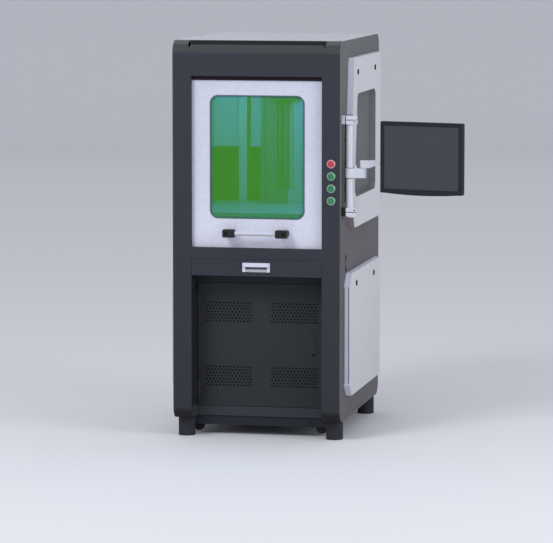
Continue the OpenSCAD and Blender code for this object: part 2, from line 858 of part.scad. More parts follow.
module lower_cover()
    difference() {
        union() {
            cover_pan(lower_outline());
            // thicker front edge that holds the finger groove
            block([half_w, y_front + lower_in + eps, lower_low + corner_cut + 4],
                [half_w + cover_proud - eps, y_front + lower_in + 6, lower_high - corner_cut - 4]);
        }
        // finger groove, with a deep slit along both of its sides
        groove_low = lower_low + corner_cut + 8;
        groove_high = lower_high - corner_cut - 8;
        block([half_w - eps, y_front + lower_in - eps, groove_low],
            [half_w + cover_proud - 4, y_front + lower_in + 1.5, groove_high]);
        for (x = [half_w - eps, half_w + cover_proud - 6])
            block([x, y_front + lower_in - eps, groove_low],
                [x + 2.5, y_front + lower_in + 5.2, groove_high]);
    }

module upper_cover_right() color(pale_grey) difference() {
    upper_cover();
    lock_holes(upper_lock_y, upper_lock_z);
}

module lower_cover_right() color(pale_grey) difference() {
    lower_cover();
    lock_holes(lower_lock_y, lower_lock_z);
}

module upper_cover_left() color(pale_grey) mirror([1, 0, 0]) upper_cover();
module lower_cover_left() color(pale_grey) mirror([1, 0, 0]) lower_cover();

// Quarter-turn lock with its head outside the cover and its cam inside
module cover_lock(y, z) {
    face = half_w + cover_proud;
    translate([face, y, z]) rotate([0, 90, 0]) {
        difference() {
            cylinder(d = lock_d, h = 3);
            translate([0, 0, 2.5]) cube([12, 2.2, 2], center = true);
        }
        translate([0, 0, -cam_in - cam_t - 3]) cylinder(r = lock_shaft_r, h = cam_in + cam_t + 3 + eps);
    }
    block([face - cam_in - cam_t, y - 7, z - 7], [face - cam_in, y + 7, z + cam_reach]);
}

module upper_lock_front() color("#1C1D20") cover_lock(upper_lock_y[0], upper_lock_z);
module upper_lock_rear() color("#1C1D20") cover_lock(upper_lock_y[1], upper_lock_z);
module lower_lock_front() color("#1C1D20") cover_lock(lower_lock_y[0], lower_lock_z);
module lower_lock_rear() color("#1C1D20") cover_lock(lower_lock_y[1], lower_lock_z);

// Monitor arm

module pole() color(silver)
    translate([pole_x, pole_y, clamp_z[0] - 23.5])
        difference() {
            cylinder(r = pole_r, h = pole_l);
            translate([0, 0, -1]) cylinder(r = pole_r - 2.5, h = pole_l + 2);
        }

module pole_clamps() color(silver)
    for (i = [0, 1])
        translate([pole_x, pole_y, clamp_z[i]])
            difference() {
                union() {
                    // base on the side plate and a narrower neck
                    block([-pole_out, -21, -clamp_h / 2], [-pole_out + clamp_base, 21, clamp_h / 2]);
                    block([-pole_out, -17, 3 - clamp_h / 2], [4 - pole_r, 17, clamp_h / 2 - 3]);
                    // ring round the pole
                    translate([(clamp_out - pole_out + clamp_base + 2.5) / 2, 0, -clamp_h / 2])
                        linear_extrude(clamp_h) rounded(clamp_out + pole_out - clamp_base - 2.5, 46, 3);
                }
                translate([0, 0, -clamp_h]) cylinder(r = pole_r + run_fit, h = 2 * clamp_h);
                // saw cut round the outside
                difference() {
                    block([-pole_out + clamp_base, -40, -1.6], [clamp_out + 1, 40, 1.6]);
                    block([-pole_out - 1, -17, -2], [-pole_r + 2, 17, 2]);
                    cylinder(r = pole_r + 3, h = 10, center = true);
                }
                // pinch screws, below the cut on the upper clamp and above it on the lower one
                translate([clamp_out - 6, -24, i == 0 ? 9 : -9]) rotate([-90, 0, 0])
                    cylinder(d = 6.4, h = 6);
            }

module arm_bush() color("#2A2C30")
    translate([pole_x, pole_y, hub_z - 2])
        difference() {
            union() {
                cylinder(r = pole_r + bush_t, h = hub_h + 4);
                cylinder(r = pole_r + bush_t + hub_wall, h = 1.7);
            }
            translate([0, 0, -eps]) cylinder(r = pole_r + run_fit, h = hub_h + 10);
        }

module stub_arm() color(silver)
    difference() {
        union() {
            translate([pole_x, pole_y, hub_z]) cylinder(r = pole_r + bush_t + hub_wall, h = hub_h);
            block([pole_x, pole_y - elbow_r, hub_z], [elbow_x, pole_y + elbow_r, hub_z + hub_h]);
            translate([elbow_x, pole_y, hub_z]) cylinder(r = elbow_r, h = hub_h);
            // thumb screw
            translate([pole_x + 26, pole_y - 6, hub_z + hub_h - eps]) cylinder(r = 4, h = 12);
        }
        translate([pole_x, pole_y, hub_z - 1]) cylinder(r = pole_r + bush_t + run_fit, h = hub_h + 20);
        // elbow bore, closed at the bottom
        translate([elbow_x, pole_y, hub_z + 8]) cylinder(r = arm_pin_r + run_fit, h = hub_h);
    }

module upper_arm() color(silver) {
    difference() {
        intersection() {
            // plan: round ends joined by a tapering web
            translate([0, 0, arm_z]) linear_extrude(arm_h) {
                translate([elbow_x, pole_y]) circle(elbow_r);
                translate([wrist_x, pole_y]) circle(16);
                polygon([[elbow_x, pole_y - elbow_r], [wrist_x, pole_y - 16],
                    [wrist_x, pole_y + 16], [elbow_x, pole_y + elbow_r]]);
            }
            // side view: flat top, underside rising from the elbow
            translate([0, pole_y - 30, 0]) across(60)
                polygon([[elbow_x - 30, arm_z], [elbow_x + 30, arm_z], [elbow_x + 58, arm_z + 12],
                    [wrist_x + 30, arm_z + 12], [wrist_x + 30, arm_z + arm_h],
                    [elbow_x - 30, arm_z + arm_h]]);
        }
        translate([wrist_x, pole_y, arm_z - 1]) cylinder(r = arm_pin_r + run_fit, h = arm_h + 2);
    }
    // elbow pin with its washer
    translate([elbow_x, pole_y, arm_z - 2]) cylinder(r = 12, h = 2 + eps);
    translate([elbow_x, pole_y, arm_z - 32]) cylinder(r = arm_pin_r, h = 32 + eps);
}

// Places the turned head, with its wrist axis on the origin and the screen facing -Y
module at_wrist()
    translate([wrist_x, pole_y, 0]) rotate([0, 0, -monitor_turn]) children();

module tilt_head() color(silver)
    at_wrist() {
        translate([0, 0, arm_z + 13]) cylinder(r = arm_pin_r, h = arm_h - 12);
        translate([0, 0, arm_z + arm_h + slide_gap]) cylinder(r = 16, h = 34);
        // neck and knuckle
        difference() {
            block([-9, tilt_y - 4, arm_z + arm_h + 4], [9, 0, screen_z + 12]);
            block([-20, tilt_y - 30, arm_z], [20, tilt_y, screen_z - 9]);
        }
        translate([0, tilt_y, screen_z]) rotate([0, 90, 0]) cylinder(r = 9, h = 18, center = true);
        translate([0, tilt_y, screen_z]) rotate([0, 90, 0])
            cylinder(r = tilt_pin_r, h = 36, center = true);
    }

module monitor_housing() color("#343740")
    at_wrist() {
        back = monitor_face + bezel_d;
        // bezel, with a shallow bow along its lower edge
        difference() {
            union() {
                translate([0, monitor_face, screen_z]) across(bezel_d) {
                    rounded(monitor_w, monitor_h, 5);
                    translate([0, 1 - monitor_h / 2]) polygon(bow_line);
                }
                // back housing
                translate([0, back - eps, screen_z + 6]) across(21)
                    rounded(monitor_w - 130, monitor_h - 110, 14);
            }
            translate([0, monitor_face - eps, screen_z]) across(4)
                rounded(monitor_w - screen_in, monitor_h - screen_in, 1);
        }
        // mounting plate and the ears round the tilt pin
        translate([0, back + 21 - 2 * eps, screen_z]) across(5) rounded(110, 110, 8);
        for (side = [-1, 1])
            difference() {
                union() {
                    translate([side * 13.8, tilt_y, screen_z]) rotate([0, 90, 0])
                        cylinder(r = 10, h = 8, center = true);
                    block([side * 13.8 - 4, back + 25, screen_z - 10],
                        [side * 13.8 + 4, tilt_y, screen_z + 10]);
                }
                translate([side * 13.8, tilt_y, screen_z]) rotate([0, 90, 0])
                    cylinder(r = tilt_pin_r + run_fit, h = 20, center = true);
            }
    }

module monitor_screen() color("#484B4F")
    at_wrist()
        translate([0, monitor_face + 1.5, screen_z]) across(2.5 - 2 * eps)
            rounded(monitor_w - screen_in - 0.4, monitor_h - screen_in - 0.4, 0.8);

// Marking station

module work_table() color("#A9ADB2") {
    front = table_back - table_d;
    difference() {
        block([-table_w / 2, front, table_z - table_t], [table_w / 2, table_back, table_z]);
        // notch round the column
        block([-column_w / 2 - 4, column_y - 4, table_z - table_t - 1],
            [column_w / 2 + 4, table_back + 1, table_z + 1]);
        // tapped holes in a grid under the lens
        columns = floor(grid_half[0] / table_pitch);
        rows = floor(grid_half[1] / table_pitch);
        for (i = [-columns : columns], j = [-rows : rows])
            translate([i * table_pitch, lens_y + j * table_pitch, table_z - table_t - 1])
                cylinder(d = table_hole_d, h = table_t + 2);
    }
    // folded legs along both sides
    for (side = [-1, 1])
        translate([side * (table_w / 2 - 20), 0, 0]) {
            block([-3, front + 20, z_floor], [3, table_back - 20, table_z - table_t + eps]);
            block([-12, front + 20, z_floor], [12, table_back - 20, z_floor + 4]);
        }
}

module z_column() color("#9DA1A6") {
    depth = column_d - slide_gap;
    difference() {
        block([-column_w / 2, column_y, z_floor], [column_w / 2, column_y + depth, column_high]);
        // bay for the screw and the guideways, closed above and below
        block([-36, column_y - eps, table_z + 60], [36, column_y + 30, column_high - 16]);
        // folded housing, open at the back
        block([-column_w / 2 + 5, column_y + 36, table_z + 20],
            [column_w / 2 - 5, column_y + depth + 1, column_high - 5]);
        // slots along the front edges
        for (side = [-1, 1])
            block([side * 88 - 4, column_y - eps, table_z + 20],
                [side * 88 + 4, column_y + 6, column_high + 1]);
    }
    // guide rails beside the screw
    for (side = [-1, 1])
        block([side * 26 - 5, column_y + 12, table_z + 60 - eps],
            [side * 26 + 5, column_y + 30 + eps, column_high - 16 + eps]);
    // screw between its bearings
    translate([0, column_y + 18, table_z + 60 - eps])
        cylinder(r = 7, h = column_high - table_z - 76 + 2 * eps);
    block([-column_w / 2 - 20, column_y - 16, z_floor],
        [column_w / 2 + 20, column_y + depth, z_floor + 12]);
}

module z_carriage() color("#4A4D52") {
    difference() {
        union() {
            // plate in front of the column
            block([-70, column_y - 14, carriage_z - 80],
                [70, column_y - slide_gap, carriage_z + head_h]);
            // nut block and shoes that reach into the bay
            block([-34, column_y - 1, carriage_z - 60], [34, column_y + 27, carriage_z + 40]);
        }
        // clearance for the screw and both guide rails
        translate([0, column_y + 18, carriage_z - 61]) cylinder(r = 7 + slide_gap, h = 102);
        for (side = [-1, 1])
            block([side * 26 - 5 - slide_gap, column_y + 12 - slide_gap, carriage_z - 61],
                [side * 26 + 5 + slide_gap, column_y + 28, carriage_z + 41]);
    }
}

module marking_head() color("#2E3136") {
    // laser body reaching forward from the carriage
    difference() {
        block([-62, lens_y + 45, carriage_z + 8], [62, column_y - 14, carriage_z + head_h - 8]);
        // cooling grooves along both sides
        for (side = [-1, 1], i = [0 : 3])
            block([side * 62 - 3, lens_y + 70, carriage_z + 20 + i * 16],
                [side * 62 + 3, column_y - 30, carriage_z + 28 + i * 16]);
    }
    // scan head
    block([-head_w / 2, lens_y - 55, carriage_z], [head_w / 2, lens_y + 45 + eps, carriage_z + head_h]);
}

module scan_lens() color("#1B1C1F")
    translate([0, lens_y, lens_z])
        difference() {
            union() {
                cylinder(r = lens_r, h = lens_h - 14);
                translate([0, 0, lens_h - 14 - eps]) cylinder(r = lens_r - 6, h = 14 + eps);
            }
            translate([0, 0, -eps]) cylinder(r1 = lens_r - 5, r2 = lens_r - 12, h = 8);
        }

// Casters

// Fork with the king pin on the origin's axis; rest angle turns the wheel
module caster_fork(x, y, turn) color(near_black)
    translate([x, y, 0]) rotate([0, 0, turn]) {
        race = z_base - pad_h - slide_gap;
        translate([0, 0, race - raceway_h]) cylinder(r = 17, h = raceway_h);
        translate([0, 0, race - eps]) cylinder(r = king_r, h = pad_h + slide_gap);
        for (side = [-1, 1])
            translate([side * (wheel_w / 2 + 1 + fork_t / 2) - fork_t / 2, 0, 0])
                along(fork_t) {
                    polygon([[-15, race - 1], [12, race - 1],
                        [wheel_trail + 7, wheel_z], [wheel_trail - 7, wheel_z]]);
                    translate([wheel_trail, wheel_z]) circle(7);
                }
        translate([0, wheel_trail, wheel_z]) rotate([0, 90, 0])
            cylinder(r = axle_r, h = wheel_w + 2 + 2 * fork_t + 3, center = true);
    }

module caster_wheel(x, y, turn) color("#1A1B1D")
    translate([x, y, 0]) rotate([0, 0, turn]) translate([0, wheel_trail, wheel_z]) rotate([0, 90, 0])
        difference() {
            union() {
                cylinder(d = wheel_d, h = wheel_w - 4, center = true);
                for (side = [-1, 1])
                    translate([0, 0, side * (wheel_w / 2 - 1)])
                        cylinder(d = wheel_d - 4, h = 2, center = true);
                cylinder(r = 7, h = wheel_w + 1, center = true);
            }
            cylinder(r = axle_r + run_fit, h = wheel_w + 4, center = true);
        }

caster_front = y_front + caster_in;
caster_rear = y_back - caster_in;
turn_front = 90;
turn_rear = 0;

module caster_fork_front_left() caster_fork(-caster_x, caster_front, turn_front);
module caster_fork_front_right() caster_fork(caster_x, caster_front, turn_front);
module caster_fork_rear_left() caster_fork(-caster_x, caster_rear, turn_rear);
module caster_fork_rear_right() caster_fork(caster_x, caster_rear, turn_rear);
module caster_wheel_front_left() caster_wheel(-caster_x, caster_front, turn_front);
module caster_wheel_front_right() caster_wheel(caster_x, caster_front, turn_front);
module caster_wheel_rear_left() caster_wheel(-caster_x, caster_rear, turn_rear);
module caster_wheel_rear_right() caster_wheel(caster_x, caster_rear, turn_rear);

// Rear and inside

module rear_cover() color(side_grey) {
    low = rear_open[0];
    high = rear_open[1];
    difference() {
        block([low[0] - 20, y_back, low[1] - 20], [high[0] + 20, y_back + 2, high[1] + 20]);
        // rows of louvre slots
        for (side = [-1, 1], i = [0 : 7])
            translate([side * 125, y_back - eps, low[1] + 60 + i * 22]) across(2 + 2 * eps)
                rounded(150, 8, 3.9);
    }
    // pressed hoods over the slots
    for (side = [-1, 1], i = [0 : 7])
        translate([side * 125 - 78, y_back + 2 - eps, low[1] + 60 + i * 22])
            along(156) polygon([[0, 9], [0, 6], [5, -1], [6.4, -1], [6.4, 0]]);
}

module control_unit() color("#54585E") {
    y0 = door_y + 120;
    z0 = z_base + sheet_t;
    difference() {
        block([-215, y0, z0], [215, y0 + 430, z0 + 178]);
        block([-213, y0 + 8, z0 - eps], [213, y0 + 422, z0 + 176]);
        // seat of the fan guard in the front and of the connectors in the back
        translate([-120, y0 - eps, z0 + 89]) rotate([-90, 0, 0]) cylinder(r = 52, h = 5);
        block([-150, y0 + 425, z0 + 30], [150, y0 + 431, z0 + 90]);
    }
    // drive bay and handles on the front
    block([40, y0 - 3, z0 + 110], [186, y0 + eps, z0 + 152]);
    for (side = [-1, 1])
        translate([side * 202, y0, z0 + 89])
            difference() {
                block([-5, -30, -60], [5, eps, 60]);
                block([-6, -20, -50], [6, eps * 2, 50]);
            }
}

front_frame();
side_plate_left();
side_plate_right();
rear_panel();
roof_panel();
top_cover();
base_frame();
machine_feet();
chamber_liner();
recess_frame();
lift_door();
door_window();
window_gasket();
handle_bar();
handle_blocks();
door_carriages();
door_rails();
keyboard_drawer();
drawer_pull();
drawer_rails();
lower_door();
door_hinges();
latch_housing();
latch_lever();
button_bezels();
button_red();
button_green_1();
button_green_2();
button_green_3();
upper_cover_right();
lower_cover_right();
upper_cover_left();
lower_cover_left();
upper_lock_front();
upper_lock_rear();
lower_lock_front();
lower_lock_rear();
pole();
pole_clamps();
arm_bush();
stub_arm();
upper_arm();
tilt_head();
monitor_housing();
monitor_screen();
work_table();
z_column();
z_carriage();
marking_head();
scan_lens();
caster_fork_front_left();
caster_fork_front_right();
caster_fork_rear_left();
caster_fork_rear_right();
caster_wheel_front_left();
caster_wheel_front_right();
caster_wheel_rear_left();
caster_wheel_rear_right();
rear_cover();
control_unit();
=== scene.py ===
import json
import math

import bmesh
import bpy
import numpy as np
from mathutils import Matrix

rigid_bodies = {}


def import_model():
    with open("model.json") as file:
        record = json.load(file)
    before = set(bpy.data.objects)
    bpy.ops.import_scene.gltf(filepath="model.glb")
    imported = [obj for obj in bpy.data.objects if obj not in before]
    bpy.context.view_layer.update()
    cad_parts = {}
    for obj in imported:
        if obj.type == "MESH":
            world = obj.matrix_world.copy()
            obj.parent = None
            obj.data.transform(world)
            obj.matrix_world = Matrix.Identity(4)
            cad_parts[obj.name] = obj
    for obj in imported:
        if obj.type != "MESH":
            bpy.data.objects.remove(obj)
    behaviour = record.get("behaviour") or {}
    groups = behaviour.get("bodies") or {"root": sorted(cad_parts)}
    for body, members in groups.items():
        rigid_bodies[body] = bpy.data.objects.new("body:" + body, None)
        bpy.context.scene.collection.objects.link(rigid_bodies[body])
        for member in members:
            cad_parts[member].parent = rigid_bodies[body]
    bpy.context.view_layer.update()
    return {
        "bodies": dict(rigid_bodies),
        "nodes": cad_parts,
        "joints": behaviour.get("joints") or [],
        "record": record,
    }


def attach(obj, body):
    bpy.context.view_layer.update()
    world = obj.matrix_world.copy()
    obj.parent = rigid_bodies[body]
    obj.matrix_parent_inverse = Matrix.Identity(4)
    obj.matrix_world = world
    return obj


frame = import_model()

nodes = frame["nodes"]
scene = bpy.context.scene
scene.view_settings.view_transform = "Standard"


# Camera: a long lens from a little above and to the operator's right

camera = {
    "target": (-0.0018, -0.0300, 0.6694),
    "azimuth": 11.438,        # degrees from straight in front
    "elevation": 6.158,
    "distance": 14.737,
    "lens": 221.27,
    "sensor": 36,
    "farthest": 60,
}


def makeCamera(spec):
    data = bpy.data.cameras.new("studioCamera")
    data.lens = spec["lens"]
    data.sensor_width = spec["sensor"]
    data.clip_end = spec["farthest"]
    eye = bpy.data.objects.new("studioCamera", data)
    turn, lift = math.radians(spec["azimuth"]), math.radians(spec["elevation"])
    back = np.array([math.sin(turn) * math.cos(lift), -math.cos(turn) * math.cos(lift), math.sin(lift)])
    eye.location = np.array(spec["target"]) + spec["distance"] * back
    eye.rotation_euler = (math.pi / 2 - lift, 0, turn)
    scene.collection.objects.link(eye)
    scene.camera = eye


# Small tools that the finishes share

def fromHex(code, shade=1.0):        # sRGB hex to linear, darkened or lightened by shade
    parts = np.array([int(code[i:i + 2], 16) for i in (1, 3, 5)]) / 255
    linear = np.where(parts <= 0.04045, parts / 12.92, ((parts + 0.055) / 1.055) ** 2.4)
    return (*np.clip(linear * shade, 0, 1).tolist(), 1.0)


def feed(tree, socket, value):        # a link where the value is a socket, else the plain value
    if isinstance(value, bpy.types.NodeSocket):
        tree.links.new(value, socket)
    else:
        socket.default_value = value


def put(tree, kind, sockets=None, **settings):        # a node, its settings and its sockets' values or links
    node = tree.nodes.new("ShaderNode" + kind)
    for name, value in settings.items():
        setattr(node, name, value)
    for name, value in (sockets or {}).items():
        feed(tree, node.inputs[name], value)
    return node


def noise(tree, place, scale, detail, **sockets):        # cloudy noise, scale marks to the metre
    return put(tree, "TexNoise", {"Vector": place, "Scale": scale, "Detail": detail, **sockets}).outputs[0]


def maths(tree, operation, *values, **settings):        # a sum, a product and so on of sockets or numbers
    return put(tree, "Math", dict(enumerate(values)), operation=operation, **settings).outputs[0]


def ramp(tree, value, start, end, low, high):        # the span start to end carried over to low to high
    span = {"From Min": start, "From Max": end, "To Min": low, "To Max": high}
    return put(tree, "MapRange", {"Value": value, **span}).outputs[0]


def mixed(tree, factor, first, second):        # two colours blended by factor
    return put(tree, "Mix", {0: factor, 6: first, 7: second}, data_type="RGBA").outputs[2]


def toned(tree, factor, colour, spread):        # one colour, darker and lighter by spread
    return mixed(tree, factor, fromHex(colour, 1 - spread), fromHex(colour, 1 + spread))


def relief(tree, height, depthMm, strength=0.5):        # bumps drawn from a height
    return put(tree, "Bump", {"Strength": strength, "Distance": depthMm / 1000, "Height": height}).outputs[0]


def newFinish(name):        # an empty finish: material, its tree, its shader and the piece's own coordinates
    made = bpy.data.materials.new(name)
    made.use_nodes = True
    tree = made.node_tree
    return made, tree, tree.nodes["Principled BSDF"], put(tree, "TexCoord").outputs["Object"]


def setShader(tree, shader, **values):        # sockets by their names without spaces
    for socket in shader.inputs:
        key = socket.name.replace(" ", "")
        key = key[0].lower() + key[1:]
        if key in values:
            feed(tree, socket, values[key])


def patched(tree, place, base, patches):        # other colours in boxes given in mm, each with a soft edge
    split = put(tree, "SeparateXYZ", {0: place}).outputs
    for patch in patches:
        inside = None
        for axis in (name for name in "XYZ" if name.lower() in patch):
            low, high = np.array(patch[axis.lower()]) / 1000
            reach = (high - low) / 2
            away = maths(tree, "ABSOLUTE", maths(tree, "SUBTRACT", split[axis], (low + high) / 2))
            part = ramp(tree, away, reach, reach + patch["soft"] / 1000, 1.0, 0.0)
            inside = part if inside is None else maths(tree, "MULTIPLY", inside, part)
        base = mixed(tree, inside, base, fromHex(patch["colour"]))
    return base


# Room: a wide pale floor that sweeps up into a low wall all round, an even sky and two soft lamps

room = {
    "sky": "#E9EBF0",
    "skyLevel": 0.80,
    "backdrop": "#DDDFE4",
    "grainMm": 40,
    "floorR": 17,
    "bendR": 2.5,
    "wallTop": 5,
    "sides": 96,
}

lamps = {
    "keyLamp": {"at": (-2.6, -5.2, 5.6), "to": (0.0, -0.3, 0.9), "size": (2.2, 2.2), "watts": 188,
                "colour": "#FFFFFF"},
    "sideLamp": {"at": (5.4, -2.6, 2.8), "to": (0.3, 0.0, 1.0), "size": (3.0, 3.0), "watts": 120,
                 "colour": "#FAFBFF"},
}


def paintedSweep(spec):
    # matt painted board, rolled: plain, with the faintest mottling
    made, tree, shader, place = newFinish("mattPaintedBoard")
    tone = toned(tree, noise(tree, place, 1000 / spec["grainMm"], 3), spec["backdrop"], 0.015)
    setShader(tree, shader, baseColor=tone, roughness=0.9, specularIORLevel=0.1)
    return made


def makeRoom(spec):
    # profile: flat floor, quarter circle of radius bendR, then straight up; turned about z
    flat, bend = spec["floorR"], spec["bendR"]
    angle = np.linspace(0, math.pi / 2, 16)
    bow = zip(flat + bend * np.sin(angle), bend * (1 - np.cos(angle)))
    profile = [(0, 0), *bow, (flat + bend, spec["wallTop"])]
    sweep = gridMesh("studioSweep", turned(profile, spec["sides"]) * 1000, paintedSweep(spec), body=None)

    world = bpy.data.worlds.new("studioSky")
    world.use_nodes = True
    tree = world.node_tree
    tree.nodes.clear()
    # the camera, mirrors and glass see the full sky; as a lamp it is dimmed to skyLevel
    ray = put(tree, "LightPath").outputs
    seen = maths(tree, "MAXIMUM", ray["Is Camera Ray"], ray["Is Glossy Ray"])
    seen = maths(tree, "MAXIMUM", seen, ray["Is Transmission Ray"])
    level = put(tree, "Mix", {0: seen, 2: spec["skyLevel"], 3: 1.0}, data_type="FLOAT")
    sky = put(tree, "Background", {"Color": fromHex(spec["sky"]), "Strength": level.outputs[0]})
    put(tree, "OutputWorld", {"Surface": sky.outputs[0]})
    scene.world = world


def areaLamp(name, spec):        # a rectangle that shines straight down from its place
    data = bpy.data.lights.new(name, "AREA")
    data.shape = "RECTANGLE"
    data.size, data.size_y = spec["size"]
    data.energy = spec["watts"]
    data.color = fromHex(spec["colour"])[:3]
    lamp = bpy.data.objects.new(name, data)
    lamp.location = spec["at"]
    scene.collection.objects.link(lamp)
    return lamp


def makeLamps(specs):
    for name, spec in specs.items():
        aim = np.array(spec["to"]) - np.array(spec["at"])
        tilt = math.acos(-aim[2] / np.linalg.norm(aim))
        areaLamp(name, spec).rotation_euler = (tilt, 0, math.atan2(aim[0], -aim[1]) + math.pi)


# Shapes: every piece is a grid of points worked out from two parameters, in millimetres

def gridMesh(name, points, finish, body="cabinet", closed=False, crease=32, bevel=0):
    # points: blocks x rows x columns x 3; columns join up, rows too where closed, doubled points merge
    points = np.asarray(points, float)
    if points.ndim == 3:
        points = points[None]
    index = np.arange(points[..., 0].size).reshape(points.shape[:3])
    if closed:
        index = np.concatenate([index, index[:, :1]], 1)
    index = np.concatenate([index, index[:, :, :1]], 2)
    quads = np.stack([index[:, :-1, :-1], index[:, 1:, :-1], index[:, 1:, 1:], index[:, :-1, 1:]], -1)
    mesh = bpy.data.meshes.new(name)
    mesh.from_pydata((points.reshape(-1, 3) / 1000).tolist(), [], quads.reshape(-1, 4).tolist())
    work = bmesh.new()
    work.from_mesh(mesh)
    bmesh.ops.remove_doubles(work, verts=work.verts, dist=1e-6)
    bmesh.ops.recalc_face_normals(work, faces=work.faces)
    work.to_mesh(mesh)
    work.free()
    mesh.shade_smooth()
    mesh.set_sharp_from_angle(angle=math.radians(crease))
    mesh.materials.append(finish)
    piece = bpy.data.objects.new(name, mesh)
    scene.collection.objects.link(piece)
    if bevel:
        rounding = piece.modifiers.new("softEdges", "BEVEL")
        rounding.width = bevel / 1000
        rounding.segments = 2
        rounding.limit_method = "ANGLE"
    if body:
        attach(piece, body)
    return piece


def turned(profile, count=32, hexed=()):
    # (radius, height) pairs turned about z; rows in hexed follow a hexagon, r / cos(angle from mid-side)
    radius, height = np.array(profile, float).T
    angle = np.arange(count) * 2 * math.pi / count
    flat = np.cos((angle + math.pi / 6) % (math.pi / 3) - math.pi / 6)
    spread = np.ones((len(radius), count))
    spread[list(hexed)] /= flat
    r = radius[:, None] * spread
    return np.stack([r * np.cos(angle), r * np.sin(angle), np.tile(height[:, None], count)], -1)


def slab(width, height, radius, profile):
    # (inset, level) pairs: a rounded rectangle shrunk by inset at each level, closed by a point at both ends
    steps = 6
    angle = (np.arange(4 * steps) // steps) * math.pi / 2 + np.tile(np.linspace(0, math.pi / 2, steps), 4)
    corner = np.repeat([[1, 1], [-1, 1], [-1, -1], [1, -1]], steps, axis=0)
    rows = []
    for inset, level in profile:
        r = max(radius - inset, 0.01)
        inner = corner * (np.array([width - 2 * inset, height - 2 * inset]) / 2 - r)
        ring = inner + r * np.stack([np.cos(angle), np.sin(angle)], -1)
        rows.append(np.column_stack([ring, np.full(4 * steps, level)]))
    first, last = rows[0] * [0, 0, 1], rows[-1] * [0, 0, 1]
    return np.stack([first, *rows, last])


def closedEnds(rows):
    # the middle of the first and of the last row added as points that close the ends
    first, last = (np.tile(rows[i].mean(0), (1, rows.shape[1], 1)) for i in (0, -1))
    return np.concatenate([first, rows, last])


def extruded(outline, low, high, axis):
    # a closed outline carried straight from low to high along axis; its pairs are the other two axes in order
    outline = np.asarray(outline, float)
    order = {"x": [2, 0, 1], "z": [0, 1, 2]}[axis]
    rows = np.stack([np.column_stack([outline, np.full(len(outline), level)]) for level in (low, high)])
    return closedEnds(rows)[..., order]


def tube(path, radius, count=12, closed=False):
    # a circle carried along a path, its plane square to the path at every point
    path = np.asarray(path, float)
    along = np.roll(path, -1, 0) - np.roll(path, 1, 0)
    if not closed:
        along[0], along[-1] = path[1] - path[0], path[-1] - path[-2]
    along /= np.linalg.norm(along, axis=1)[:, None]
    lead = np.where(np.abs(along[:, 2:3]) > 0.9, [[1.0, 0, 0]], [[0, 0, 1.0]])
    side = np.cross(along, lead)
    side /= np.linalg.norm(side, axis=1)[:, None]
    up = np.cross(side, along)
    angle = np.arange(count) * 2 * math.pi / count
    ring = np.cos(angle)[None, :, None] * side[:, None] + np.sin(angle)[None, :, None] * up[:, None]
    rows = path[:, None] + radius * ring
    return rows if closed else closedEnds(rows)


def facing(points, places, axis):
    # copies of points with their z turned to axis, one block at each place
    turns = {"+x": [[0, 0, 1], [0, 1, 0], [-1, 0, 0]], "-x": [[0, 0, -1], [0, 1, 0], [1, 0, 0]],
             "+y": [[1, 0, 0], [0, 0, 1], [0, -1, 0]], "-y": [[1, 0, 0], [0, 0, -1], [0, 1, 0]],
             "+z": [[1, 0, 0], [0, 1, 0], [0, 0, 1]], "-z": [[1, 0, 0], [0, -1, 0], [0, 0, -1]]}
    aimed = np.asarray(points) @ np.array(turns[axis], float).T
    return np.concatenate([aimed[None] + np.array(place, float) for place in places])


def everyPlace(xs, ys, zs):
    return [(x, y, z) for x in xs for y in ys for z in zs]


def fourRound(x, y, z, r):
    # four places on a circle in the plane across y, at 45 degrees to its axes
    return [(x + r * math.cos(a), y, z + r * math.sin(a)) for a in np.radians((45, 135, 225, 315))]


wrist = {"x": 739, "y": -430, "turn": -16}        # where the monitor turns, and its turn at rest


def atWrist(points):
    # the monitor's own frame, turned about the wrist axis
    angle = math.radians(wrist["turn"])
    x, y, z = np.moveaxis(np.asarray(points, float), -1, 0)
    return np.stack([wrist["x"] + x * math.cos(angle) - y * math.sin(angle),
                     wrist["y"] + x * math.sin(angle) + y * math.cos(angle), z], -1)


# Finishes

plainCoat = {"fade": (0.95, 0.1), "grainMm": 5, "cloudMm": 200, "reliefMm": 0.1, "rough": 0.62,
             "fleck": 0.08}

